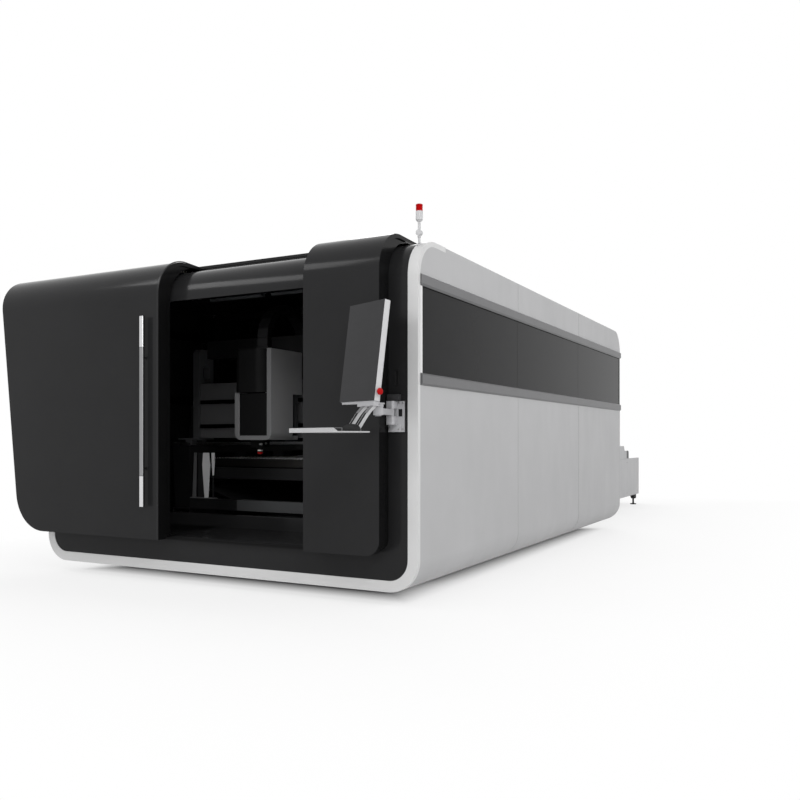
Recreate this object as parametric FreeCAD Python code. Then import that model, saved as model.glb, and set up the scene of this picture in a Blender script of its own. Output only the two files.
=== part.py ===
import FreeCAD, Part
import math
import os

V = FreeCAD.Vector

# A fiber laser cutting machine: a closed cutting cell and, behind it, a station that
# swaps two pallets.  Millimetres.  While it is built, X = 0 is the middle of the cell,
# Y = 0 is its black front face and Z = 0 is the floor.  place() then moves the origin
# to the middle of the footprint.

# --- the cell -------------------------------------------------------------------------
HALF_WIDTH = 1725
LENGTH = 5540
CELL_BOTTOM = 100
ROOF = 2400
SHEET = 3
TOP_RADIUS = 250
BOTTOM_RADIUS = 215
BOTTOM_FLANGE = 275
BAYS = 3
SEAM = 4
LIP = 25
PANEL_GAP = 0.3
RUNNING_GAP = 0.3
FRAME_TUBE = 60
FRAME_WALL = 4
BASE_RAIL_HEIGHT = 97
SLOT_FLANGE = 43

# --- side windows ---------------------------------------------------------------------
RAIL_BOTTOM = 1444
GLASS_BOTTOM = RAIL_BOTTOM + 79
GLASS_TOP = ROOF - 314
RAIL_TOP = ROOF - 238
RAIL_PROUD = 15
RAIL_DEPTH = 43
GLASS = 6
END_STRIP = 30

# --- the front ------------------------------------------------------------------------
TRIM_WIDTH = 74
TRIM_DEPTH = 30
TRIM_PROUD = 4
TRIM_BACK = 417
DOORWAY_LEFT = -440
DOORWAY_RIGHT = 970
SILL = 365
SILL_DEPTH = 660
LINTEL = ROOF - 260
JAMB_DEPTH = 60
STEP_HEIGHT = 101
STEP_DEPTH = 60
LIGHT_FIRST = 1160
LIGHT_LAST = LENGTH - 1200
LIGHT_ROWS = 3
LIGHT_LENGTH = 590
LIGHT_SPACES = (-980, -290, 400)

# --- the two hooded covers ------------------------------------------------------------
COVER_OUT = 150
COVER_LAYER = 80
COVER_STEP = 14
COVER_BOTTOM = 348
HOOD_TOP = ROOF + 65
HOOD_DROP = 16
HOOD_BACK = 385
HOOD_RADIUS = 285
HOOD_LIFT = 30
COVER_LEFT = 940
COVER_RIGHT = HALF_WIDTH - 203
COVER_CORNER = 100
DOOR_RIGHT = -358
DOOR_LEFT_BOTTOM = -1906
DOOR_LEFT_TOP = -2144
DOOR_CORNER = 320
DOOR_CLEARANCE = 12
COVER_CLEARANCE = 0.5
TRACK_FRONT = 310
TRACK_WIDTH = 40
TRACK_HEIGHT = 25
TRACK_WALL = 4
SHOE = 120
FIN_THICK = 4
FIN_BACK = 30
FIN_BASE = 340

# --- door handle ----------------------------------------------------------------------
HANDLE_X = DOOR_RIGHT - 121
HANDLE_WIDTH = 36
HANDLE_BOTTOM = 593
HANDLE_TOP = 2004
HANDLE_GAP = 34
HANDLE_THICK = 18

# --- the bed --------------------------------------------------------------------------
BED_INSIDE = 1060
BED_OUTSIDE = BED_INSIDE + 200
BED_FRONT = 960
BED_BACK = LENGTH - 70
CHORD_BOTTOM = 150
CHORD_TOP = 475
RAIL_BEAM_BOTTOM = 975
RAIL_BEAM_TOP = RAIL_BEAM_BOTTOM + 65
UPRIGHTS = 8
UPRIGHT_TOP = 170
UPRIGHT_FOOT = 110
CROSS_BEAMS = 5
CROSS_WIDTH = 120
CROSS_BOTTOM = 250
CROSS_TOP = 400
TUBE_WALL = 8
FRONT_BEAM_TOP = CHORD_TOP + 92
FRONT_BEAM_WIDTH = 80
GUIDE_WIDTH = 30
GUIDE_HEIGHT = 28
RACK_WIDTH = 22
FOOT_PAD = 14
PAD_RADIUS = 50
SPINDLE_RADIUS = 15

# --- pallets --------------------------------------------------------------------------
PALLET_FRONT = 1050
PALLET_LENGTH = LENGTH - 1540
PALLET_HALF = BED_INSIDE - 70
PALLET_RAIL = 60
RAIL_WALL = 6
PALLET_BOTTOM = RAIL_BEAM_BOTTOM - 235
SLAT_SEAT = PALLET_BOTTOM + 110
SLAT_TOP = SLAT_SEAT + 80
SLAT_THICK = 5
SLAT_TEETH = 4
SLAT_TOOTH = 22
SLATS = 18
WHEEL_RADIUS = 50
WHEEL_WIDTH = 27
WHEEL_INSET = 400
AXLE_RADIUS = 14
AXLE_CLEARANCE = 0.3
TRACK_THICK = 12
TRACK_LEG = 60
TRACK_WEB = 8

# --- swap station ---------------------------------------------------------------------
STATION_FRONT = LENGTH
STATION_BACK = LENGTH + 4100
STATION_HALF = PALLET_HALF + 110
STATION_BOTTOM = 165
STATION_TOP = PALLET_BOTTOM + 40
STATION_SIDE = 40
STATION_CORNER = 6
STATION_FEET = 3
BRACKET_DROP = 65
GUARD_FRONT = LENGTH + 2560
GUARD_BACK = LENGTH + 3200
GUARD_TOP = 985
PALLET_OUT = LENGTH + 60
TIER_DROP = 250
LIFT_PLATE = 10
LIFT_TOP = SLAT_TOP - 25
ROD_RADIUS = 22
BARREL_RADIUS = 38
BARREL_BOTTOM = 60
BARREL_TOP = 385
BARREL_FROM_MIDDLE = 800
BARREL_FROM_END = 500
LIFT_BEAM = 60
LIFT_STEP_BACK = LENGTH + 3550

# --- gantry ---------------------------------------------------------------------------
BEAM_FRONT = 1080
BEAM_BACK = BEAM_FRONT + 170
BEAM_BOTTOM = RAIL_BEAM_TOP + 67
BEAM_TOP = BEAM_BOTTOM + 493
BEAM_HALF = BED_INSIDE - 20
BEAM_WALL = 12
X_RAIL_LEVELS = (BEAM_BOTTOM + 106, BEAM_BOTTOM + 323)
X_RAIL_HEIGHT = 33
X_RAIL_DEPTH = 24
END_PLATE = 70
END_PLATE_TOP = BEAM_TOP + 315
TRUCK_BOTTOM = RAIL_BEAM_TOP + 50
TRUCK_TOP = TRUCK_BOTTOM + 16
TRAY_FRONT = BEAM_FRONT + 92
TRAY_BOTTOM = BEAM_TOP + 234
TRAY_TOP = TRAY_BOTTOM + 160
TRAY_WIDTH = 150
CHAIN_START = 40 - BEAM_HALF
CHAIN_END = 200

# --- carriage and head ----------------------------------------------------------------
CARRIAGE_LEFT = -267
CARRIAGE_RIGHT = CARRIAGE_LEFT + 366
CARRIAGE_FRONT = BEAM_FRONT - 460
CARRIAGE_BACK = BEAM_FRONT - 30
CARRIAGE_BOTTOM = TRUCK_BOTTOM
CARRIAGE_TOP = TRAY_BOTTOM - 9
CARRIAGE_WALL = 42
CARRIAGE_FLOOR = 35
PLATE_BACK = 34
CARRIAGE_CORNER = 60
SHORT_WALL_TOP = CARRIAGE_TOP - 350
NOTCH_TOP = SHORT_WALL_TOP - 5
NOTCH_FRONT = CARRIAGE_BACK - 132
NOTCH_CORNER = 25
CHAIN_WIDTH = 100
CHAIN_THICK = 60
ARCH_RADIUS = 274
ARCH_LINKS = 11
ARCH_LEFT = CARRIAGE_LEFT + 207
ARCH_SPRING = TRAY_BOTTOM + 78
HEAD_X = CARRIAGE_LEFT + 128
HEAD_Y = CARRIAGE_FRONT + 170
NOZZLE_TIP = SLAT_TOP + 38
HEAD_RADIUS = 42
HEAD_TOP = CARRIAGE_BOTTOM + 200
SENSOR_HALF = (65, 50)
SENSOR_BOTTOM = CARRIAGE_BOTTOM - 60
SENSOR_TOP = CARRIAGE_BOTTOM - 5
PASSAGE_HALF = (75, 60)

# --- console --------------------------------------------------------------------------
WALL_HINGE = (COVER_RIGHT + 31, -45)
BRACKET = (COVER_RIGHT - 10, COVER_RIGHT + 107)
BRACKET_Z = (1143, 1345)
BRACKET_PLATE = 8
LUG_BOTTOM = 1190
LUG_BACK = WALL_HINGE[0] + 23
CABLE_BOX = (COVER_RIGHT - 9, COVER_RIGHT + 79)
CABLE_BOX_HEIGHT = 40
ARM_PIVOT = (WALL_HINGE[0] + 67, -335)
ARM_LEVEL = 1243
ARM_HEIGHT = 50
HINGE_PIN = 8
SPINDLE = 12
HUB_RADIUS = 20
BOSS_RADIUS = 32
MONITOR_AT = (ARM_PIVOT[0] - 106, -417.5, 1326)
MONITOR_TURN = -23.4
MONITOR_TILT = -7.6
MONITOR_WIDTH = 356
MONITOR_HEIGHT = 612
MONITOR_THICK = 52
SCREEN = 3
TRAY_SIZE = (462, 264)
TRAY_AHEAD = 200
TRAY_LEVEL = 1135
TRAY_LIP = 27
TRAY_SHEET = 8
KNUCKLE_TOP = 16
BAR_DROP = 34
ARM_PLACES = (66, 150)
ARM_HALF = 15
PAD_HEIGHT = 10
BUTTON_RADIUS = 21
STEM_RADIUS = 8
BUTTON_UP = 57
BUTTON_STAND = 24

# --- signal tower ---------------------------------------------------------------------
TOWER_X = HALF_WIDTH - 53
TOWER_Y = 120
LAMP_BOTTOM = ROOF + 188
LAMP_TOP = LAMP_BOTTOM + 46
LAMP_RADIUS = 22
TOWER_KNUCKLE = ROOF + 47
KNUCKLE_RADIUS = 20
KNUCKLE_LENGTH = 28
STEM = 8
POLE = 9.5
SOCKET_RADIUS = 24
SOCKET_BOTTOM = TOWER_KNUCKLE + 72

# --- places worked out from these -----------------------------------------------------
BASE_RAIL_IN = HALF_WIDTH - BOTTOM_RADIUS - FRAME_TUBE
BASE_TOP = CELL_BOTTOM + SHEET + BASE_RAIL_HEIGHT
POST_OUT = HALF_WIDTH - 42
POST_TOP = ROOF - SHEET - FRAME_TUBE
FRAME_FIRST = TRIM_BACK + 43
FRAME_LAST = LENGTH - TOP_RADIUS - FRAME_TUBE
ROOF_END = FRAME_LAST
SLOT_HALF = BED_INSIDE + 2
SLOT_BOTTOM = PALLET_BOTTOM - 60
REAR_SHEET_TOP = RAIL_BEAM_BOTTOM + 85
ABOVE_HOOD = HOOD_TOP + 60
FIN_TOP = COVER_BOTTOM + COVER_STEP - 4
TRACK_BACK = TRACK_FRONT + TRACK_WIDTH
GUIDE_MIDDLE = (BED_INSIDE + BED_OUTSIDE) / 2
WHEEL_LEVEL = PALLET_BOTTOM + 30
TRACK_LEVEL = WHEEL_LEVEL - WHEEL_RADIUS - RUNNING_GAP
TRACK_INSIDE = PALLET_HALF + 2
BRACKET_BOTTOM = STATION_BOTTOM - BRACKET_DROP
STATION_FLOOR = STATION_BOTTOM + SHEET
STATION_BEAM_TOP = STATION_FLOOR + 60
LIFT_BEAM_TOP = TRACK_LEVEL - TIER_DROP - TRACK_THICK
LIFT_BEAM_BOTTOM = LIFT_BEAM_TOP - LIFT_BEAM
CARRIAGE_INSIDE = (CARRIAGE_LEFT + CARRIAGE_WALL, CARRIAGE_RIGHT - CARRIAGE_WALL)
SLIDE_FRONT = CARRIAGE_BACK - PLATE_BACK


# --- shapes ---------------------------------------------------------------------------
def box(x, y, z):
    """A block between three (low, high) pairs."""
    return Part.makeBox(x[1] - x[0], y[1] - y[0], z[1] - z[0], V(x[0], y[0], z[0]))


def rod(radius, start, axis, length):
    return Part.makeCylinder(radius, length, V(*start), V(*axis))


def in_plane(plane, u, v):
    """A point of the XZ, YZ or XY plane."""
    return {"XZ": V(u, 0, v), "YZ": V(0, u, v), "XY": V(u, v, 0)}[plane]


def corner(before, here, after):
    """Where the arc of a (u, v, radius) corner starts, its middle and where it ends."""
    point = V(here[0], here[1], 0)
    if here[2] == 0:
        return point, None, point
    back = (V(before[0], before[1], 0) - point).normalize()
    ahead = (V(after[0], after[1], 0) - point).normalize()
    half = back.getAngle(ahead) / 2
    reach = here[2] / math.tan(half)
    middle = (back + ahead).normalize()
    rise = here[2] / math.sin(half) - here[2]
    return point + back * reach, point + middle * rise, point + ahead * reach


def outline(corners, plane):
    """A closed face through (u, v, radius) corners, each rounded by its radius."""
    count = len(corners)
    turns = [corner(corners[i - 1], corners[i], corners[(i + 1) % count]) for i in range(count)]
    edges = []
    for i, (start, middle, end) in enumerate(turns):
        if middle is not None:
            ends = [in_plane(plane, p.x, p.y) for p in (start, middle, end)]
            edges.append(Part.Arc(*ends).toShape())
        following = turns[(i + 1) % count][0]
        if end.distanceToPoint(following) > 1e-6:
            ends = [in_plane(plane, p.x, p.y) for p in (end, following)]
            edges.append(Part.makeLine(*ends))
    return Part.Face(Part.Wire(edges))


def slab(corners, plane, low, high):
    """An outline drawn in a plane and stretched from low to high across it."""
    across = {"XZ": V(0, 1, 0), "YZ": V(1, 0, 0), "XY": V(0, 0, 1)}[plane]
    face = outline(corners, plane)
    face.translate(across * low)
    return face.extrude(across * (high - low))


def turn_sign(a, b, c):
    return (b[0] - a[0]) * (c[1] - b[1]) - (b[1] - a[1]) * (c[0] - b[0])


def beside(corners, distance, closed):
    """The same corners moved to the left of the path, with their radii to match."""
    moved = []
    count = len(corners)
    for i, (u, v, radius) in enumerate(corners):
        first = i == 0 and not closed
        last = i == count - 1 and not closed
        here = V(u, v, 0)
        before = V(*corners[i - 1][:2], 0)
        after = V(*corners[(i + 1) % count][:2], 0)
        coming = (after - here if first else here - before).normalize()
        going = (here - before if last else after - here).normalize()
        left_in = V(-coming.y, coming.x, 0)
        left_out = V(-going.y, going.x, 0)
        shift = (left_in + left_out) * (distance / (1 + left_in.dot(left_out)))
        bend = 0 if first or last else turn_sign(corners[i - 1], (u, v), corners[(i + 1) % count])
        if radius and bend > 0:
            radius = max(radius - distance, 0)
        elif radius and bend < 0:
            radius = max(radius + distance, 0)
        moved.append((u + shift.x, v + shift.y, radius))
    return moved


def folded(path, thickness, plane, low, high):
    """A strip of sheet that follows a path, its thickness laid to the path's left."""
    other_side = beside(path, thickness, closed=False)
    return slab(path + other_side[::-1], plane, low, high)


def tube(size_u, size_v, wall, plane, low, high):
    """A rectangular tube between two pairs, along the plane's third axis."""
    def ring(inset):
        u0, u1 = size_u[0] + inset, size_u[1] - inset
        v0, v1 = size_v[0] + inset, size_v[1] - inset
        return slab([(u0, v0, 0), (u1, v0, 0), (u1, v1, 0), (u0, v1, 0)], plane, low, high)
    return ring(0).cut(ring(wall))


def polygon(radius, sides, height=0, phase=0.5):
    """Corners of a regular polygon round the Z axis; phase turns it by part of a side."""
    turns = [2 * math.pi * (i + phase) / sides for i in range(sides)]
    return [V(radius * math.cos(a), radius * math.sin(a), height) for a in turns]


def faceted(profile, centre, sides=12):
    """A turned piece with flats: (radius, height) points up a vertical axis."""
    rings = [polygon(radius, sides, height) for radius, height in profile]
    faces = [rings[0], rings[-1]]
    for low, high in zip(rings, rings[1:]):
        faces += [[low[i - 1], low[i], high[i], high[i - 1]] for i in range(sides)]
    shell = Part.makeShell([Part.Face(Part.makePolygon(face + face[:1])) for face in faces])
    shell.sewShape()
    solid = Part.Solid(shell)
    if solid.Volume < 0:
        solid.reverse()
    solid.translate(V(*centre))
    return solid


def prism(radius, start, axis, length, sides=12, phase=0.5):
    """A straight piece with flats, from start along an axis."""
    ring = polygon(radius, sides, 0, phase)
    solid = Part.Face(Part.makePolygon(ring + ring[:1])).extrude(V(0, 0, length))
    solid.Placement = FreeCAD.Placement(V(*start), FreeCAD.Rotation(V(0, 0, 1), V(*axis)))
    return solid


def around(radius, sides):
    """The corner radius of a hole with flats that keeps a round piece clear."""
    return radius / math.cos(math.pi / sides)


def clipped(u, v, cut):
    """A rectangle between two pairs, its corners cut off."""
    (u0, u1), (v0, v1) = u, v
    points = [(u0 + cut, v0), (u1 - cut, v0), (u1, v0 + cut), (u1, v1 - cut),
              (u1 - cut, v1), (u0 + cut, v1), (u0, v1 - cut), (u0, v0 + cut)]
    return [(a, b, 0) for a, b in points]


def mirrored(shapes):
    """The same pieces on the other side of the cell's middle."""
    return [shape.mirror(V(0, 0, 0), V(1, 0, 0)) for shape in shapes]


def both_sides(shapes):
    return shapes + mirrored(shapes)


def fused(shapes):
    return shapes[0].multiFuse(shapes[1:]).removeSplitter()


def evenly(low, high, count):
    return [low + (high - low) * i / (count - 1) for i in range(count)]


# --- the bed --------------------------------------------------------------------------
def bed_side():
    """The right side frame: chord, tapered uprights and the beam that carries the rail."""
    x = (BED_INSIDE, BED_OUTSIDE)
    chord = tube(x, (CHORD_BOTTOM, CHORD_TOP), TUBE_WALL, "XZ", BED_FRONT, BED_BACK)
    beam = box(x, (BED_FRONT, BED_BACK), (RAIL_BEAM_BOTTOM, RAIL_BEAM_TOP))
    places = evenly(BED_FRONT + UPRIGHT_TOP / 2, BED_BACK - UPRIGHT_TOP / 2, UPRIGHTS)
    uprights = []
    for y in places:
        low, high = UPRIGHT_FOOT / 2, UPRIGHT_TOP / 2
        sides = [(y - low, CHORD_TOP, 0), (y + low, CHORD_TOP, 0),
                 (y + high, RAIL_BEAM_BOTTOM, 0), (y - high, RAIL_BEAM_BOTTOM, 0)]
        uprights.append(slab(sides, "YZ", *x))
    return fused([chord, beam] + uprights)


def bed_cross_beams():
    places = evenly(BED_FRONT + CROSS_WIDTH / 2, BED_BACK - CROSS_WIDTH / 2, CROSS_BEAMS)
    beams = []
    for y in places:
        sides = ((y - CROSS_WIDTH / 2, y + CROSS_WIDTH / 2), (CROSS_BOTTOM, CROSS_TOP))
        beams.append(tube(*sides, TUBE_WALL, "YZ", -BED_INSIDE, BED_INSIDE))
    front = ((BED_FRONT, BED_FRONT + FRONT_BEAM_WIDTH), (CHORD_TOP, FRONT_BEAM_TOP))
    beams.append(tube(*front, TUBE_WALL, "YZ", -BED_INSIDE, BED_INSIDE))
    return beams


def foot(x, y, top):
    """A levelling foot under the member at top: a pad and its hexagonal spindle."""
    pad = prism(PAD_RADIUS, (x, y, 0), (0, 0, 1), FOOT_PAD, sides=8)
    spindle = prism(SPINDLE_RADIUS, (x, y, FOOT_PAD), (0, 0, 1), top - FOOT_PAD, sides=6)
    return fused([pad, spindle])


def levelling_feet():
    feet = []
    for y in evenly(BED_FRONT + 200, BED_BACK - 200, 4):
        feet.append(foot(GUIDE_MIDDLE, y, CHORD_BOTTOM))
    for y in evenly(STATION_FRONT + 250, STATION_BACK - 250, STATION_FEET):
        feet.append(foot(STATION_HALF - STATION_SIDE, y, BRACKET_BOTTOM))
        feet.append(foot_bracket(y))
    return both_sides(feet)


def foot_bracket(y):
    """The sloping black bracket between the station's side and a foot."""
    low, high = BRACKET_BOTTOM, STATION_BOTTOM
    sides = [(y - 60, low, 0), (y + 60, low, 0), (y + 60, high, 0), (y - 160, high, 0)]
    return slab(sides, "YZ", STATION_HALF - STATION_SIDE - 20, STATION_HALF - 4)


def guide_rails():
    """The two ground rails that the gantry runs on, each with its rack alongside."""
    base = RAIL_BEAM_TOP
    half, neck = GUIDE_WIDTH / 2, GUIDE_WIDTH / 2 - 5
    right = [(half, 0), (half, 8), (neck, 13), (half, 19), (half, GUIDE_HEIGHT)]
    section = right + [(-u, v) for u, v in right[::-1]]
    rail = slab([(GUIDE_MIDDLE + u, base + v, 0) for u, v in section], "XZ", BED_FRONT, BED_BACK)
    outside = BED_OUTSIDE - RACK_WIDTH
    rack = box((outside, BED_OUTSIDE), (BED_FRONT, BED_BACK), (base, base + GUIDE_HEIGHT))
    return both_sides([rail, rack])


def pallet_tracks():
    """Angles on the bed's sides: the flat leg carries the wheels, the other hangs down."""
    under, foot_z, web = TRACK_LEVEL - TRACK_THICK, TRACK_LEVEL - TRACK_LEG, BED_INSIDE - TRACK_WEB
    section = [(TRACK_INSIDE, under, 0), (web, under, 0), (web, foot_z, 0), (BED_INSIDE, foot_z, 0),
               (BED_INSIDE, TRACK_LEVEL, 0), (TRACK_INSIDE, TRACK_LEVEL, 0)]
    return both_sides([slab(section, "XZ", PALLET_FRONT, LENGTH - 45)])


def scrap_conveyor():
    """Two sloping plates that drop the cut scrap onto a belt in a trough."""
    back = BED_BACK - 60
    front = BED_FRONT + FRONT_BEAM_WIDTH + 10
    high, low, edge = TRACK_LEVEL - TRACK_THICK - 10, CROSS_TOP + 60, 330
    outside = BED_INSIDE - TRACK_WEB - PANEL_GAP
    slope = [(outside, high, 0), (edge, low, 0), (edge, low - 5, 0), (outside, high - 5, 0)]
    chute = slab(slope, "XZ", front, back)
    path = [(-edge, low - 5, 0), (-edge, CROSS_TOP, 0), (edge, CROSS_TOP, 0), (edge, low - 5, 0)]
    trough = folded(path, SHEET, "XZ", front, back)
    under, over = CROSS_TOP + SHEET, CROSS_TOP + SHEET + 15
    belt = [box((-edge + 12, edge - 12), (front + 20, back - 20), (under, over))]
    for y in evenly(front + 60, back - 60, 9):
        belt.append(box((-edge + 20, edge - 20), (y - 6, y + 6), (over, over + 16)))
    return both_sides([chute]) + [trough, fused(belt)]


def guard_posts():
    """Tapered stops at the pallet's front corners, three a side on a shelf."""
    y = BED_FRONT + 30
    low, high = FRONT_BEAM_TOP + 8, SLAT_TOP + 45
    waist = (low + high) / 2 + 60
    shelf_x = (BED_INSIDE - 265, BED_INSIDE - PANEL_GAP)
    posts = [box(shelf_x, (y - 28, y + 28), (FRONT_BEAM_TOP, low))]
    for inset, top, bottom in ((25, 47, 47), (160, 93, 50), (240, 45, 14)):
        x = BED_INSIDE - inset
        sides = [(x - bottom / 2, low, 0), (x + bottom / 2, low, 0), (x + top / 2, waist, 0),
                 (x + top / 2.2, high, 0), (x - top / 2.2, high, 0), (x - top / 2, waist, 0)]
        posts.append(slab(sides, "XZ", y - 20, y + 20))
    return both_sides(posts)


# --- pallets --------------------------------------------------------------------------
def slat_outline():
    """One sawtoothed slat, which stands on the pallet's side rails."""
    half = PALLET_HALF - 4
    pitch = 2 * half / SLAT_TEETH
    points = [(half, SLAT_SEAT), (-half, SLAT_SEAT), (-half, SLAT_TOP - SLAT_TOOTH)]
    for tooth in range(SLAT_TEETH):
        left = -half + tooth * pitch
        points.append((left + pitch / 2, SLAT_TOP))
        points.append((left + pitch, SLAT_TOP - SLAT_TOOTH))
    return [(u, v, 0) for u, v in points]


def pallet_slats():
    first = slab(slat_outline(), "XZ", 0, SLAT_THICK)
    slats = []
    for y in evenly(PALLET_FRONT + 100, PALLET_FRONT + PALLET_LENGTH - 100, SLATS):
        slat = first.copy()
        slat.translate(V(0, y - SLAT_THICK / 2, 0))
        slats.append(slat)
    return slats


def axle_places():
    return (PALLET_FRONT + WHEEL_INSET, PALLET_FRONT + PALLET_LENGTH - WHEEL_INSET)


def pallet_frame():
    """Two side channels bored for the axles, with an end member across at each end."""
    inner = PALLET_HALF - PALLET_RAIL
    back = PALLET_FRONT + PALLET_LENGTH
    path = [(inner, PALLET_BOTTOM, 0), (PALLET_HALF, PALLET_BOTTOM, 0),
            (PALLET_HALF, SLAT_SEAT, 0), (inner, SLAT_SEAT, 0)]
    rail = folded(path, RAIL_WALL, "XZ", PALLET_FRONT, back)
    bore = around(AXLE_RADIUS + AXLE_CLEARANCE, 8)
    for y in axle_places():
        start = (PALLET_HALF - 2 * RAIL_WALL, y, WHEEL_LEVEL)
        rail = rail.cut(prism(bore, start, (1, 0, 0), 3 * RAIL_WALL, 8))
    ends = []
    for y in (PALLET_FRONT, back - PALLET_RAIL):
        sides = ((y, y + PALLET_RAIL), (PALLET_BOTTOM + RAIL_WALL, SLAT_SEAT - RAIL_WALL))
        ends.append(tube(*sides, 5, "YZ", RAIL_WALL - PALLET_HALF, PALLET_HALF - RAIL_WALL))
    return both_sides([rail]) + ends


def wheel_set(y):
    """An axle with a wheel at each end, outside the pallet's rails."""
    start, inside = PALLET_HALF + 3, 10
    reach = start + inside
    axle = rod(AXLE_RADIUS, (-reach, y, WHEEL_LEVEL), (1, 0, 0), 2 * reach)
    wheel = prism(WHEEL_RADIUS, (start, y, WHEEL_LEVEL), (1, 0, 0), WHEEL_WIDTH, phase=0)
    return fused([axle] + both_sides([wheel]))


# --- swap station ---------------------------------------------------------------------
def station_sides():
    """Folded side covers with their ends closed, and a stepped guard on the right one."""
    x, cut = STATION_HALF, STATION_CORNER
    lip = x - STATION_SIDE
    path = [(lip, STATION_BOTTOM, 0), (x - cut, STATION_BOTTOM, 0), (x, STATION_BOTTOM + cut, 0),
            (x, STATION_TOP - cut, 0), (x - cut, STATION_TOP, 0), (lip, STATION_TOP, 0)]
    skin = folded(path, SHEET, "XZ", STATION_FRONT, STATION_BACK)
    ends = []
    for y in (STATION_FRONT, STATION_BACK - SHEET):
        ends.append(slab([(u, v, 0) for u, v, _ in path], "XZ", y, y + SHEET))
    side = fused([skin] + ends)
    guard = [(GUARD_FRONT, STATION_TOP, 0), (GUARD_BACK, STATION_TOP, 0), (GUARD_BACK, LIFT_TOP, 0),
             (GUARD_BACK - 140, LIFT_TOP, 0), (GUARD_BACK - 180, GUARD_TOP - 20, 0),
             (GUARD_BACK - 200, GUARD_TOP, 0), (GUARD_FRONT + 40, GUARD_TOP, 0),
             (GUARD_FRONT, GUARD_TOP - 40, 0)]
    return both_sides([side]) + [slab(guard, "YZ", lip, x - SHEET)]


def barrel_places():
    """The four lift cylinders, two on each of the station's main beams."""
    return [(x, y) for y in main_beam_places() for x in (-BARREL_FROM_MIDDLE, BARREL_FROM_MIDDLE)]


def main_beam_places():
    return (STATION_FRONT + BARREL_FROM_END, STATION_BACK - BARREL_FROM_END)


def upright(radius, place, low, high):
    """A vertical piece with flats at an (x, y) place."""
    return prism(radius, (*place, low), (0, 0, 1), high - low, sides=8)


def station_cross_beams():
    """Base members between the side covers, bored where the lift cylinders pass."""
    half = STATION_HALF - SHEET
    low, high = STATION_FLOOR, STATION_BEAM_TOP
    beams = []
    for y in main_beam_places():
        beam = box((-half, half), (y - 70, y + 70), (low + STATION_CORNER, high))
        for place in barrel_places():
            if place[1] == y:
                beam = beam.cut(upright(BARREL_RADIUS, place, low - 1, high + 1))
        beams.append(beam)
    for y in (STATION_FRONT + 40, STATION_BACK - 100):
        edge = half - STATION_CORNER
        beams.append(tube((y, y + 60), (low, low + 100), 5, "YZ", -edge, edge))
    return beams


def lift_cylinders():
    bore = ROD_RADIUS + around(RUNNING_GAP, 8)
    barrels = []
    for place in barrel_places():
        barrel = upright(BARREL_RADIUS, place, BARREL_BOTTOM, BARREL_TOP)
        collar = upright(BARREL_RADIUS + 22, place, STATION_BEAM_TOP, STATION_BEAM_TOP + 16)
        barrels.append(fused([barrel, collar]).cut(upright(bore, place, BARREL_BOTTOM + 8, BARREL_TOP + 1)))
    return barrels


def lift_frame():
    """Cross beams of the lift, two of them on the rods of the four cylinders."""
    half = BED_INSIDE - 8
    beams = []
    for y in main_beam_places():
        beam = [box((-half, half), (y - 50, y + 50), (LIFT_BEAM_BOTTOM, LIFT_BEAM_TOP))]
        for place in barrel_places():
            if place[1] == y:
                beam.append(upright(ROD_RADIUS, place, BARREL_BOTTOM + 12, LIFT_BEAM_BOTTOM))
        beams.append(fused(beam))
    for y in (STATION_FRONT + 180, STATION_BACK - 240):
        sides = ((y, y + 60), (LIFT_BEAM_BOTTOM, LIFT_BEAM_TOP))
        beams.append(tube(*sides, 5, "YZ", -half, half))
    return beams


def lift_tracks():
    """Each side of the lift: a plate with two bars on it that the pallet wheels run on."""
    outside = BED_INSIDE - 8
    front, back = STATION_FRONT + 25, STATION_BACK - 15
    step, low, edge = LIFT_STEP_BACK, LIFT_BEAM_TOP, TRACK_LEVEL + 40
    sides = [(front, low, 0), (back, low, 0), (back, edge, 0), (step + 20, edge, 0), (step, edge + 20, 0),
             (step, LIFT_TOP - 30, 0), (step - 30, LIFT_TOP, 0), (front + 30, LIFT_TOP, 0),
             (front, LIFT_TOP - 30, 0)]
    plate = slab(sides, "YZ", outside - LIFT_PLATE, outside)
    ledges = []
    for top in (TRACK_LEVEL, TRACK_LEVEL - TIER_DROP):
        ledge = ((TRACK_INSIDE, outside - LIFT_PLATE), (front, back), (top - TRACK_THICK, top))
        ledges.append(box(*ledge))
    return both_sides([plate] + ledges)


def drive_motor():
    """The geared motor that pushes the pallets, on the station's rear member."""
    y, z = STATION_BACK - 175, STATION_FLOOR
    gearbox = box((-60, 60), (y - 60, y + 60), (z + 8, z + 150))
    flange = prism(62, (60, y, z + 79), (1, 0, 0), 12, 16)
    motor = prism(55, (72, y, z + 79), (1, 0, 0), 190, 16)
    plate = box((-90, 280), (y - 75, STATION_BACK - 100), (z, z + 8))
    return [fused([gearbox, flange, motor]), plate]


# --- gantry ---------------------------------------------------------------------------
def gantry_beam():
    """A box beam with ribs inside, its front face machined for the two rails."""
    sides = ((BEAM_FRONT, BEAM_BACK), (BEAM_BOTTOM, BEAM_TOP))
    beam = tube(*sides, BEAM_WALL, "YZ", -BEAM_HALF, BEAM_HALF)
    inside = [(low + BEAM_WALL, high - BEAM_WALL) for low, high in sides]
    ribs = [box((x - 5, x + 5), *inside) for x in evenly(-700, 700, 3)]
    return [fused([beam] + ribs)]


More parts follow.
